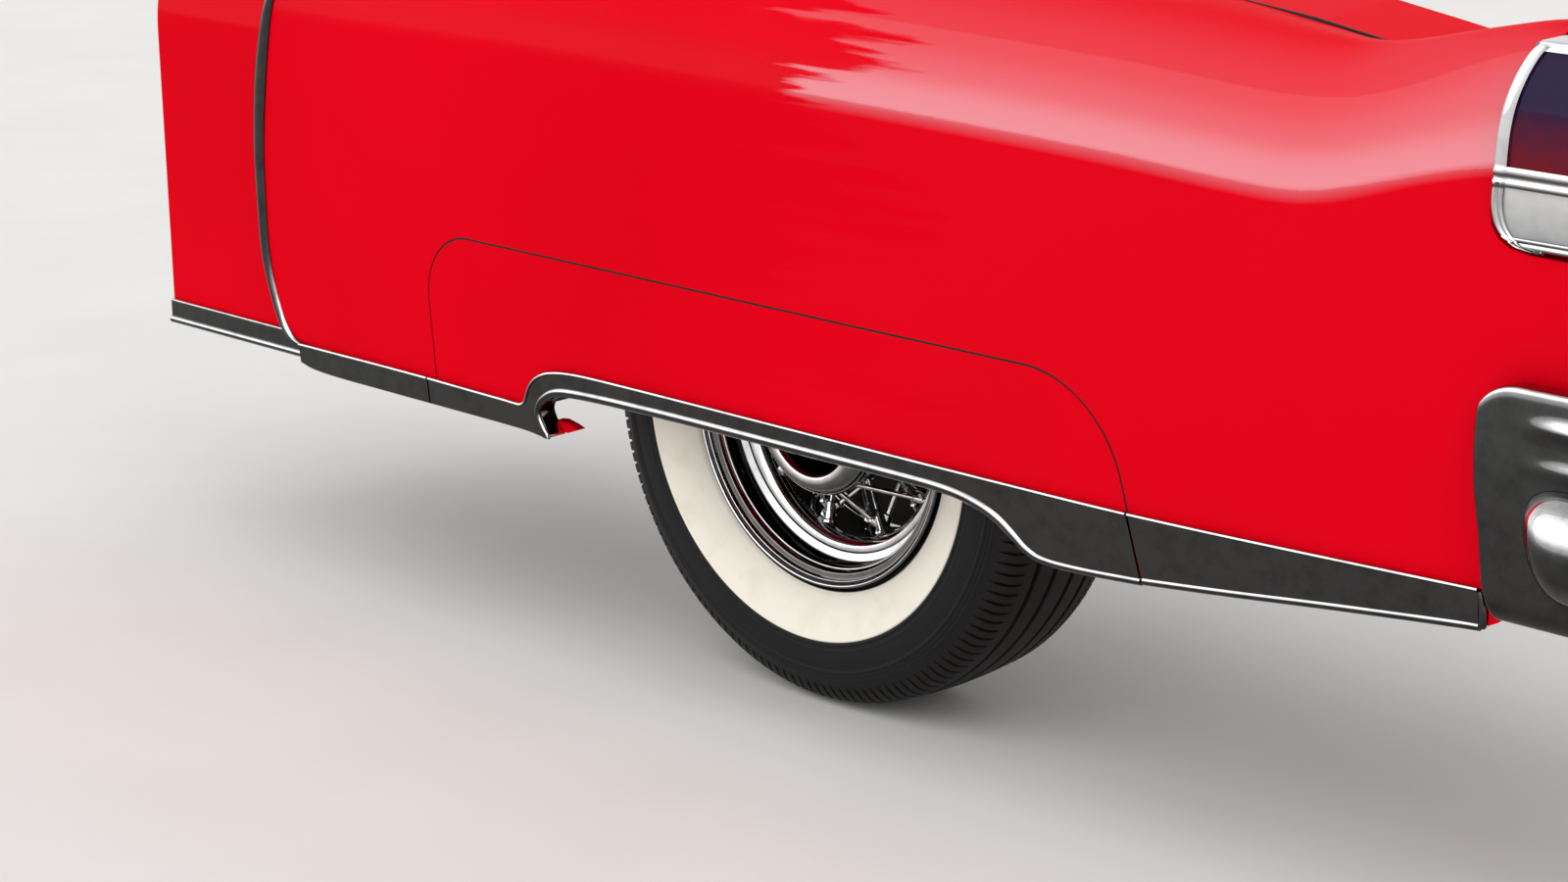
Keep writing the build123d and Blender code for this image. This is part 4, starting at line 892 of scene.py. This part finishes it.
def lugMesh(values, sideSign):
    # One shoulder lug between two cross cuts, with a bevelled outer face
    line = [(y, values["radius"] - drop)
            for y, drop in ((0.0995, 0.036), (0.0962, 0.024), (0.0905, 0.0145), (0.0835, 0.0078),
                            (0.0745, 0.0045), (0.0695, 0.0038))]
    drop = values["lugRise"]
    half = pi / values["lugs"] * values["lugWidth"]
    points = []
    for angle, fall in ((-half, 0.0012), (-half * 0.86, 0.0), (half * 0.86, 0.0), (half, 0.0012)):
        outer = [(y, y - fall, r - fall) for y, r in line]
        inner = [(y, y - drop, r - drop - 0.002) for y, r in reversed(line)]
        for y, place, reach in outer + inner:
            shift = angle + values["lugSlant"] * (values["lugFrom"] - y) / values["lugRun"]
            points.append((reach * cos(shift), wheel["middle"] + sideSign * place, reach * sin(shift)))
    columns = 2 * len(line)
    faces = gridFaces(4, columns, False, True)
    faces.append(tuple(range(columns)))
    faces.append(tuple(range(4 * columns - 1, 3 * columns - 1, -1)))
    return points, faces


lugMeshes = []
for sideSign in (-1, 1):
    lugMeshes.append(ringOf(f"treadLugs{sideSign}", *lugMesh(tyre, sideSign), rubber,
                            {"Copies": tyre["lugs"], "First angle": 0.02, "Seed": 5, "Angle scatter": 0.0}))
joinMeshes("treadLugs", lugMeshes, rubber, "wheel", "tyre_rubber", "whitewall_tyre")
print("wheel pieces made")

# Chrome mouldings along the bottom: a flat band, a thin top edge and a rounded bead below

moulding = {"proud": 0.0065, "topBead": 0.0026, "back": 0.0005, "step": 0.006, "flangeDepth": 0.025,
            "flangeHalf": 0.0006, "endBead": 0.0056, "topSink": 0.0008, "beadSink": 0.0035}


def smoothLine(points, spacing):
    # Evenly spaced points of a curve through the given ones, rounded at its corners
    dense = []
    for k in range(len(points) - 1):
        p0 = np.array(points[max(k - 1, 0)])
        p1, p2 = np.array(points[k]), np.array(points[k + 1])
        p3 = np.array(points[min(k + 2, len(points) - 1)])
        span = np.linalg.norm(p2 - p1)
        a = (p2 - p0) / (np.linalg.norm(p2 - p1) + np.linalg.norm(p1 - p0) + 1e-9) * span
        b = (p3 - p1) / (np.linalg.norm(p3 - p2) + np.linalg.norm(p2 - p1) + 1e-9) * span
        count = max(2, int(span / spacing))
        for s in np.arange(count) / count:
            dense.append((2 * s ** 3 - 3 * s * s + 1) * p1 + (s ** 3 - 2 * s * s + s) * a
                         + (-2 * s ** 3 + 3 * s * s) * p2 + (s ** 3 - s * s) * b)
    dense.append(np.array(points[-1]))
    return dense


def bandMesh(top, low, proud):
    # A flat band between two side-view lines with the same number of points
    points = []
    for a, b in zip(top, low):
        for x, z in (a, b):
            points.append((x, sideAt(x) - proud, z))
        for x, z in (b, a):
            points.append((x, sideAt(x) - moulding["back"], z))
    return points, ribbonFaces(len(top), 4)


def beadMesh(line, sizes, out, sides=14):
    # A round bead along a side-view line, with its own radius at each point
    points = []
    for k, (x, z) in enumerate(line):
        a, b = line[max(k - 1, 0)], line[min(k + 1, len(line) - 1)]
        along = Vector((b[0] - a[0], 0, b[1] - a[1])).normalized()
        centre = Vector((x, sideAt(x) - out, z))
        outward = Vector((0, -1, 0))
        over = along.cross(outward).normalized()
        points += [centre + (over * c + outward * s) * sizes[k] for c, s in circle(sides)]

    return points, ribbonFaces(len(line), sides)


def resample(line, count):
    line = np.array(line)
    reach = np.concatenate([[0], np.cumsum(np.linalg.norm(np.diff(line[:, :2], axis=0), axis=1))])
    spots = np.linspace(0, reach[-1], count)
    return [tuple(np.interp(spots, reach, line[:, k])[j] for k in range(line.shape[1])) for j in range(count)]


def joinParts(parts):
    points, faces = [], []
    for partPoints, partFaces in parts:
        start = len(points)
        points += [tuple(p) for p in partPoints]
        faces += [tuple(k + start for k in f) for f in partFaces]
    return points, faces


def nearest(line, spot):
    return min(range(len(line)), key=lambda k: hypot(line[k][0] - spot[0], line[k][1] - spot[1]))


def mouldingPiece(name, pairs, node, flange=None, end=None):
    # pairs hold the top edge's x, z, the bead's x, z and its radius; flange names the stretch folded inward
    # and end the line of a rounded end
    dense = smoothLine(pairs, moulding["step"])
    top = [(row[0], row[1]) for row in dense]
    line = [(row[2], row[3]) for row in dense]
    sizes = [row[4] for row in dense]
    parts = [bandMesh(top, line, moulding["proud"]),
             beadMesh(top, [moulding["topBead"]] * len(top), moulding["proud"] - moulding["topSink"], 8),
             beadMesh(line, sizes, moulding["proud"] - moulding["beadSink"])]
    if flange:
        first, last = (nearest(line, spot) for spot in flange)
        points = []
        for x, z in line[first:last + 1]:
            out, back = sideAt(x) - 0.004, sideAt(x) + moulding["flangeDepth"]
            low, high = z - moulding["flangeHalf"], z + moulding["flangeHalf"]
            points += [(x, out, low), (x, back, low), (x, back, high), (x, out, high)]
        parts.append((points, ribbonFaces(last + 1 - first, 4)))
    if end:
        line, size = smoothLine(end, 0.003), moulding["endBead"]
        parts.append(beadMesh([(x, z) for x, z in line], [size] * len(line), moulding["proud"] - size))
    newPiece(name, *joinParts(parts), chrome, "quarter", "chrome_plate", node, sharp=40)


mouldingPiece("frontLowerMoulding",
              [(-0.877, -0.0285, -0.874, -0.0515, 0.003), (-0.85, -0.0282, -0.85, -0.0562, 0.003),
               (-0.8, -0.028, -0.8, -0.0585, 0.003), (-0.7, -0.0275, -0.7, -0.0588, 0.003),
               (-0.599, -0.0275, -0.595, -0.0588, 0.003)], "front_lower_moulding")
mouldingPiece("skirtMoulding",
              [(-0.596, -0.0275, -0.592, -0.0588, 0.003), (-0.5, -0.0285, -0.5, -0.0588, 0.003),
               (-0.44, -0.029, -0.43, -0.059, 0.003), (-0.418, -0.0295, -0.395, -0.0598, 0.003),
               (-0.408, -0.029, -0.372, -0.062, 0.003), (-0.401, -0.0255, -0.3585, -0.0638, 0.003),
               (-0.3975, -0.0205, -0.3655, -0.0565, 0.0034), (-0.3945, -0.013, -0.3745, -0.0435, 0.004),
               (-0.391, -0.0055, -0.378, -0.034, 0.0044), (-0.3845, 0.0035, -0.3755, -0.026, 0.0048),
               (-0.375, 0.0115, -0.3695, -0.018, 0.0054), (-0.359, 0.0192, -0.357, -0.009, 0.006),
               (-0.342, 0.0235, -0.342, -0.0022, 0.0066), (-0.318, 0.0268, -0.322, 0.0018, 0.0068),
               (-0.28, 0.0288, -0.28, 0.0045, 0.0068), (-0.2, 0.0295, -0.2, 0.0065, 0.0068),
               (-0.1, 0.0297, -0.1, 0.0076, 0.0068), (0.1, 0.0297, 0.1, 0.0078, 0.0068),
               (0.3, 0.0297, 0.3, 0.0078, 0.0068), (0.348, 0.0297, 0.352, 0.0052, 0.0068),
               (0.384, 0.0297, 0.392, -0.0022, 0.0068), (0.408, 0.0297, 0.42, -0.0125, 0.0068),
               (0.428, 0.0297, 0.442, -0.0262, 0.0066), (0.448, 0.0297, 0.4615, -0.0392, 0.0062),
               (0.472, 0.0297, 0.484, -0.0465, 0.0056), (0.52, 0.0297, 0.53, -0.0475, 0.0052),
               (0.606, 0.0299, 0.6275, -0.0425, 0.005)], "skirt_moulding",
              ((-0.3585, -0.0638), (0.4615, -0.0392)))
mouldingPiece("rearLowerMoulding",
              [(0.609, 0.0299, 0.631, -0.0412, 0.005), (0.76, 0.031, 0.76, -0.0298, 0.005),
               (0.86, 0.0318, 0.86, -0.0205, 0.005), (0.96, 0.0327, 0.96, -0.012, 0.005),
               (1.03, 0.0333, 1.03, -0.0066, 0.005), (1.0475, 0.0334, 1.05, -0.0056, 0.0048)],
              "rear_lower_moulding",
              end=[(1.047, 0.0305), (1.0492, 0.024), (1.051, 0.015), (1.0516, 0.006), (1.051, -0.002),
                   (1.0495, -0.0056)])

skirtBrace = {"outline": [(-0.377, -0.05), (-0.365, -0.0485), (-0.347, -0.0515), (-0.334, -0.0555),
                          (-0.353, -0.0628), (-0.375, -0.0625)], "outer": -0.7805, "inner": -0.7665}
brace = addPrism("skirtBrace", skirtBrace["outline"], skirtBrace["outer"], skirtBrace["inner"])
brace.data.materials.append(paint)
dressPiece(brace, "quarter", "body_paint")

sill = {"front": -1.243, "rear": -0.9, "side": -0.7655, "thick": 0.0055, "top": -0.0315, "low": -0.058,
        "beads": ((-0.0325, 0.0026, 0.002), (-0.0595, 0.0055, 0.001))}


def sillPiece(values):
    # The sill's own moulding: flat band and two beads on the body side ahead of the fender
    xs = np.linspace(values["front"], values["rear"], 40)
    y, back, top, low = values["side"], values["side"] + values["thick"], values["top"], values["low"]
    band = []
    for x in xs:
        band += [(x, y, top), (x, y, low), (x, back, low), (x, back, top)]
    parts = [(band, ribbonFaces(len(xs), 4))]
    for z, size, sink in values["beads"]:
        parts.append(rodMesh([(Vector((x, y + sink, z)), Vector((1, 0, 0)), size) for x in xs], 12))
    newPiece("sillMoulding", *joinParts(parts), chrome, "quarter", "chrome_plate", "sill_moulding", sharp=40)


sillPiece(sill)

seal = {"half": 0.011, "thick": 0.005, "behind": 0.0004, "foot": -0.04, "points": 200}


def skirtSeal(values):
    # Dark rubber behind the gap round the skirt
    line = [p for p in skirtOutline(skirt, skirt["gap"] / 2) if p[1] > -0.2]
    line = resample(line[1:] + [line[0]], values["points"])
    points = []
    for k, (x, z) in enumerate(line):
        a, b = line[max(k - 1, 0)], line[min(k + 1, len(line) - 1)]
        over = Vector((b[1] - a[1], a[0] - b[0])).normalized() * values["half"]
        side = sideAt(x) + fender["wall"] + values["behind"]
        for shift, depth in ((-1, 0.0), (1, 0.0), (1, values["thick"]), (-1, values["thick"])):
            points.append((x + over.x * shift, side + depth, max(z + over.y * shift, values["foot"])))
    newPiece("skirtSeal", points, ribbonFaces(len(line), 4), sealRubber, "quarter", "seal_rubber", sharp=40)


skirtSeal(seal)

# Leading edge strip: a slim bowed band that wraps the fender's front edge

strip = {"front": [(-0.8655, -0.0305), (-0.886, -0.0298), (-0.905, -0.0258), (-0.92, -0.0165),
                   (-0.937, 0.017), (-0.958, 0.083), (-0.963, 0.151), (-0.967, 0.232), (-0.964, 0.314),
                   (-0.955, 0.375), (-0.939, 0.436), (-0.914, 0.5), (-0.886, 0.552)],
         "rear": [(-0.8655, -0.0268), (-0.879, -0.0256), (-0.893, -0.0205), (-0.904, -0.011),
                  (-0.9145, 0.003), (-0.938, 0.072), (-0.944, 0.181), (-0.9435, 0.245), (-0.937, 0.317),
                  (-0.93, 0.377), (-0.919, 0.438), (-0.893, 0.5), (-0.866, 0.553)],
         "cross": [(0.15, 0.045), (0.0, 0.006), (0.03, 0.001), (0.15, -0.0035), (0.36, -0.006),
                   (0.62, -0.006), (0.87, -0.0045), (1.0, -0.0018), (1.0, 0.0002), (0.3, 0.0002),
                   (0.3, 0.045)], "count": 120}


def stripPiece(values):
    front, rear = (resample(smoothLine(values[key], moulding["step"]), values["count"])
                   for key in ("front", "rear"))
    shape = fenderGrid[0][:, 1:]
    top = int(np.argmax(shape[:, 1]))
    points = []
    for (xa, za), (xb, zb) in zip(front, rear):
        z = (za + zb) / 2
        y = float(np.interp(z, shape[:top, 1], shape[:top, 0]))
        for share, depth in values["cross"]:
            points.append((xa + (xb - xa) * share, y + depth, za + (zb - za) * share))
    newPiece("leadingEdgeStrip", points, ribbonFaces(values["count"], len(values["cross"])), chrome,
             "quarter", "chrome_plate", "leading_edge_strip", sharp=50)


stripPiece(strip)

# Bumper end: a deep pressed face bar that wraps the corner, with two tapered ribs, and its exhaust pod

bumper = {"front": 1.053, "rear": 1.5, "side": -0.8, "inner": -0.33, "bend": 0.13, "low": 0.012, "top": 0.259,
          "corner": (0.05, 0.038), "lowCorner": 0.006, "lip": 0.024, "wall": 0.003,
          "ribs": ((0.222, 0.005), (0.182, 0.0028)),
          "lean": [(0.0, 0.034), (0.017, 0.025), (0.052, 0.016), (0.105, 0.011), (0.145, 0.004), (0.194, 0.0),
                   (0.3, 0.0)], "ribStart": 1.1, "ribRun": 0.075, "ribWidth": 0.0085, "podLean": (0.27, 0.3),
          "podBlunt": 0.6, "podStart": 1.112, "podY": -0.786, "podZ": 0.107, "podRadius": 0.0615,
          "podNose": 0.068, "podEnd": 1.508, "podWall": 0.004, "podLeanFrom": (0.034, -0.005),
          "podLeanRun": 0.16, "podBackEnd": 1.385, "podBackY": -0.776, "roll": 0.0055, "closeRun": 0.0445,
          "leanRun": 0.15}


def bumperPath(values):
    # Plan points with their outward direction, and the distance along X or round the bend
    side, rear, r = values["side"], values["rear"], values["bend"]
    close = values["front"] + values["roll"] + values["closeRun"] * np.linspace(0, 1, 16) ** 1.7
    far = np.linspace(values["front"] + 0.055, rear - r, 46)
    path = [((x, side), (0.0, -1.0), x) for x in np.concatenate([close, far])]
    centre = (rear - r, side + r)
    for turn in np.linspace(0, pi / 2, 26)[1:]:
        out = (sin(turn), -cos(turn))
        path.append(((centre[0] + out[0] * r, centre[1] + out[1] * r), out, 2.0))
    for y in np.linspace(side + r + 0.01, values["inner"], 24):
        path.append(((rear, y), (1.0, 0.0), 2.0))
    return path


def bumperGrid(values):
    face = smoothLine([(-values["lip"], 0.2582), (-0.01, 0.2588), (-0.004, 0.2583), (-0.0012, 0.2562),
                       (0.0002, 0.2525), (0.0014, 0.244), (0.003, 0.22), (0.005, 0.18), (0.006, 0.12),
                       (0.005, 0.056), (0.0035, 0.036), (-0.001, 0.023), (-0.006, 0.0155), (-0.014, 0.0125),
                       (-values["lip"], 0.012)], 0.003)
    leanZ, leanX = zip(*values["lean"])
    wide, tall = values["corner"]
    path = bumperPath(values)
    rows = []
    roll = values["roll"]
    for step in range(-6, 0):
        turn = (pi / 2) * (-step / 5 if step > -6 else 1)
        extra = values["lip"] - roll if step == -6 else 0
        x = values["front"] + roll - roll * sin(turn)
        rows.append(((x, values["side"]), (0.0, -1.0), x, roll * (1 - cos(turn)) + extra))
    rows += [(spot, out, x, 0.0) for spot, out, x in path]
    grid = []
    for spot, out, x, sink in rows:
        near = max(0.0, wide - (x - values["front"])) / wide
        top = values["top"] - tall * (1 - sqrt(max(1 - near ** 2, 0)))
        near = max(0.0, values["lowCorner"] - (x - values["front"]))
        low = values["low"] + (values["lowCorner"] - sqrt(max(values["lowCorner"] ** 2 - near ** 2, 0)))
        line = []
        for n, z in face:
            share = (z - values["low"]) / (values["top"] - values["low"])
            height = low + share * (top - low)
            fade = min(max((x - values["ribStart"]) / values["ribRun"], 0), 1)
            fade = fade * fade * (3 - 2 * fade)
            rib = sum(rise * np.exp(-((height - c) / values["ribWidth"]) ** 2) for c, rise in values["ribs"])
            reach = max(n + fade * rib - sink, -values["lip"])
            close = max(0.0, 1 - (x - values["front"]) / values["leanRun"])
            shift = float(np.interp(height, leanZ, leanX)) * close
            line.append((spot[0] + shift + out[0] * reach, spot[1] + out[1] * reach, height))
        grid.append(line)
    return np.array(grid)


def addShell(name, grid, wall, probe):
    normals = gridNormals(grid)
    if normals[probe][1] > 0:
        normals = -normals
    return shellMesh(name, grid, normals, wall)


def podMesh(values, grow):
    # Pod of revolution about X: a blunt nose whose face leans back at the foot, then a straight tube
    radius, wall, start = values["podRadius"] + grow, values["podWall"], values["podStart"] - grow
    turns = [radians(90) * k / 24 for k in range(25)]
    blunt, length = values["podBlunt"], values["podNose"]
    nose = [(start + length * (1 - cos(t) ** blunt), max(radius * sin(t) ** blunt, 0.0002)) for t in turns]
    core = [(start + wall + (length - wall) * (1 - cos(t) ** blunt),
             max((radius - wall) * sin(t) ** blunt, 0.0002)) for t in turns[::-1]]
    end = values["podEnd"]
    profile = nose + [(x, radius) for x in np.linspace(start + length + 0.02, end, 12)]
    profile += [(end + 0.0018, radius - 0.001), (end + 0.0018, radius - 0.003),
                (end - 0.002, radius - wall)] + core
    sides = 84
    footLean, sideLean = values["podLean"]
    footFrom, sideFrom = values["podLeanFrom"]
    points = []
    for x, r in profile:
        share = max(0.0, 1 - (x - start) / values["podLeanRun"])
        for c, s in circle(sides):
            y, z = r * c, r * s

            lean = share * (footLean * max(footFrom - z, 0.0) + sideLean * max(sideFrom - y, 0.0))
            points.append((x + lean, values["podY"] + y, values["podZ"] + z))
    return points, ribbonFaces(len(profile), sides)


barSkin = addShell("bumperEnd", bumperGrid(bumper), bumper["wall"], (30, 20))
podCut = looseObject("podCut", *podMesh(bumper, 0.0003))
tidyMesh(podCut.data, 40)
cutMesh(barSkin, [(podCut, "DIFFERENCE")])
finishCut(barSkin, chrome, 40)
dressPiece(barSkin, "quarter", "chrome_plate", "bumper_end")
podPiece = newPiece("bumperExhaustPod", *podMesh(bumper, 0.0), chrome, "quarter", "chrome_plate")
podBack = [(1.0, -0.1), (1.0, 0.3), (bumper["podBackEnd"], 0.3), (bumper["podBackEnd"], -0.1)]
cutMesh(podPiece, [(addPrism("podBack", podBack, bumper["podBackY"], -0.6), "DIFFERENCE")])
tidyMesh(podPiece.data, 40)
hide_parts("bumper_exhaust_pod")
print("mouldings and bumper made")

# Tail lamp: a chrome housing with two windows, its lenses set inside them, on one smooth upright form

lampForm = {"middle": -0.718, "half": 0.05, "low": 0.3855, "top": 0.592, "shoulder": 0.5885, "band": 0.0135,
            "gap": 0.005, "wall": 0.0022, "z": [0.382, 0.44, 0.532, 0.592], "breadth": [0.86, 1.0, 1.0, 0.72],
            "reach": [0.15, 0.172, 0.166, 0.128], "divider": (0.451, 0.463), "dividerFrame": 0.0045,
            "pivot": (1.09, 0.582), "boss": 0.0085, "bossHalf": 0.02, "windowLow": 0.3965,
            "windowTop": 0.5825, "bandRun": 0.018, "reachFrom": 1.03, "upperBows": [(0.0065, 0.0085, 0.0022)],
            "lowerBows": [(0.0036, 0.0038, 0.0022), (0.0106, 0.003, 0.0016)],
            "rings": [(0.3888, 0.0033, 0.0016), (0.3948, 0.0024, 0.0012), (0.4505, 0.0042, 0.0018),
                      (0.4625, 0.005, 0.0018)]}
breadthCurve = np.polyfit(lampForm["z"], lampForm["breadth"], 3)
reachCurve = np.polyfit(lampForm["z"], lampForm["reach"], 3)
edgeLine = smoothLine([(1.085, 0.5895), (1.079, 0.585)] + [(x + lampForm["gap"], z) for x, z in lampFront[:6]]
                      + [(1.042, 0.44), (1.041, 0.4225), (1.044, 0.4075), (1.051, 0.397), (1.0625, 0.39),
                         (1.088, 0.3855)], 0.002)
edgeLine = sorted((z, x) for x, z in edgeLine)
edgeZ, edgeX = zip(*edgeLine)


def lampEdge(z):
    return float(np.interp(z, edgeZ, edgeX))


def lampRow(z, grow, start, columns=(16, 14, 34)):
    # One level section from the front edge round the back to the far front edge
    half = lampForm["half"] * float(np.polyval(breadthCurve, z)) + grow
    rear = lampForm["reachFrom"] + float(np.polyval(reachCurve, z)) + grow
    first = lampEdge(z) + start
    straight = max(rear - half, first + 0.03)
    band, flat, turn = columns
    run = lampForm["bandRun"]
    xs = [first + run * k / band for k in range(band)]
    xs += [first + run + (straight - first - run) * k / flat for k in range(flat)]
    left = [(x, lampForm["middle"] - half, z) for x in xs]
    nose = [(straight + (rear - straight) * sin(pi * k / turn),
             lampForm["middle"] - half * cos(pi * k / turn), z) for k in range(turn + 1)]
    right = [(x, 2 * lampForm["middle"] - y, z) for x, y, z in left[::-1]]
    return left + nose + right


def swell(distance, width):
    return max(0.0, 1 - (distance / width) ** 2)


def windowCutter(name, values, base, peak):
    # A window starts one band behind the front edge and goes round the back
    front = [(lampEdge(z) + values["band"], z) for z in np.linspace(base, peak, 24)]
    return addPrism(name, front + [(1.35, peak), (1.35, base)], -0.9, -0.6)


lampPlate = {"above": 0.004, "top": 0.57, "inset": 0.0056, "back": 0.0165, "thick": 0.0022, "rows": 60}


def plateMesh(values):
    # A plate across the housing, just behind its front band
    plate = []
    for z in np.linspace(lampForm["low"] + values["above"], values["top"], values["rows"]):
        half = lampForm["half"] * float(np.polyval(breadthCurve, z)) - values["inset"]
        x, near, far = lampEdge(z) + values["back"], lampForm["middle"] - half, lampForm["middle"] + half
        plate += [(x, near, z), (x + values["thick"], near, z), (x + values["thick"], far, z), (x, far, z)]
    return plate, ribbonFaces(values["rows"], 4)


def lampHousing(values):
    low, high = values["divider"]
    shoulder, top = values["shoulder"], values["top"]
    levels = list(np.arange(values["low"], 0.4, 0.0008)) + list(np.arange(0.4, shoulder, 0.0014))
    rows = []
    for z in levels:
        rise = sum(size * swell(z - place, width) for place, width, size in values["rings"])
        rows.append(lampRow(z, rise, 0.0))
    for turn in np.linspace(0.15, 1, 6) * pi / 2:
        rows.append([(x, y, shoulder + (top - shoulder) * sin(turn))
                     for x, y, z in lampRow(shoulder, -0.004 * (1 - cos(turn)), 0.0)])
    for share in (0.75, 0.5, 0.25, 0.02):
        rows.append([(x, values["middle"] + (y - values["middle"]) * share, top)
                     for x, y, z in lampRow(shoulder, -0.004, 0.0)])
    grid = np.array(rows)
    # Bow the frame's front band outward: one broad bow beside the red lens, two rings beside the clear one
    for i, z in enumerate(levels):
        for j in range(17):
            across = values["bandRun"] * j / 16
            bows = values["lowerBows"] if z < low else values["upperBows"]
            bow = sum(size * swell(across - place, width) for place, width, size in bows)
            grid[i, j, 1] -= bow
            grid[i, -1 - j, 1] += bow
    shell = addShell("lampBezel", grid, values["wall"], (40, 4))
    frameEdge = values["dividerFrame"]
    upper = windowCutter("upperWindow", values, high + frameEdge, values["windowTop"])
    lower = windowCutter("lowerWindow", values, values["windowLow"], low - frameEdge)
    cutMesh(shell, [(upper, "DIFFERENCE"), (lower, "DIFFERENCE")])
    px, pz = values["pivot"]
    boss = [(Vector((px, values["middle"] + y, pz)), Vector((0, 1, 0)), values["boss"])
            for y in (-values["bossHalf"], values["bossHalf"])]
    back = looseObject("lampBack", *joinParts([plateMesh(lampPlate), rodMesh(boss, 24)]))
    meshes = [shell.data, back.data]
    for item in (shell, back):
        tidyMesh(item.data, 35)
        bpy.data.objects.remove(item)
    joinMeshes("lampBezel", meshes, bezelPlate, "lamp", "chrome_plate", "lamp_bezel")


def lampLens(name, low, high, material, slotName, node):
    rows = [lampRow(z, -0.0024, 0.0105) for z in np.linspace(low, high, 40)]
    shell = addShell(name, np.array(rows), 0.0025, (20, 4))
    shell.data.materials.append(material)
    tidyMesh(shell.data, 35)
    dressPiece(shell, "lamp", slotName, node)


lampHousing(lampForm)
lampLens("lampLensRed", 0.4605, 0.5865, redLens, "red_lens", "lamp_lens_red")
lampLens("lampLensClear", 0.3925, 0.4535, clearLens, "clear_lens", "lamp_lens_clear")
print("lamp made")

# Floor, light and background

studio = {"floorLevel": -tyre["radius"] - 0.0005, "floorSize": 60.0, "world": 0.74,
          "floor": ("E4E3E1", "E8E7E5"), "speckMillimetres": 333.33}


def addStudio(values):
    half, z = values["floorSize"] / 2, values["floorLevel"]
    corners = [(-half, -half, z), (half, -half, z), (half, half, z), (-half, half, z)]
    floor = looseObject("studioFloor", corners, [(0, 1, 2, 3)])
    material, tree, shader, place = newMaterial("paleFloor", Roughness=0.9)
    speck = addNode(tree, "ShaderNodeTexNoise", {"Vector": place},
                    {"Scale": 1000 / values["speckMillimetres"], "Detail": 4.0})
    dark, pale = (colour(code) for code in values["floor"])
    feed(tree, shader, Base_Color=addRamp(tree, speck.outputs["Fac"], [(0.3, dark), (0.7, pale)]))
    floor.data.materials.append(material)
    world = bpy.data.worlds.new("studioWorld")
    bpy.context.scene.world = world
    world.use_nodes = True
    tree = world.node_tree
    sky = tree.nodes["Background"]
    path = addNode(tree, "ShaderNodeLightPath")
    seen = addNode(tree, "ShaderNodeMath",
                   {0: path.outputs["Is Camera Ray"], 1: path.outputs["Is Glossy Ray"]}, operation="MAXIMUM")
    seen = addNode(tree, "ShaderNodeMath", {0: seen.outputs["Value"], 1: path.outputs["Is Transmission Ray"]},
                   operation="MAXIMUM")
    level = addNode(tree, "ShaderNodeMapRange", {"Value": seen.outputs["Value"]},
                    {"To Min": values["world"], "To Max": 1.0})
    sky.inputs["Color"].default_value = (1, 1, 1, 1)
    tree.links.new(level.outputs["Result"], sky.inputs["Strength"])


addStudio(studio)

suns = {"keySun": ((0.6, -1.0, 1.5), 1.0, 70), "sideSun": ((-1.2, -1.4, 0.8), 0.35, 60)}
for name, (place, power, spread) in suns.items():
    data = bpy.data.lights.new(name, "SUN")
    data.angle = radians(spread)
    data.energy = power
    linked(name, data).rotation_euler = (-Vector(place)).to_track_quat("-Z", "Y").to_euler()
bpy.context.scene.view_settings.view_transform = "Standard"
print("studio made")
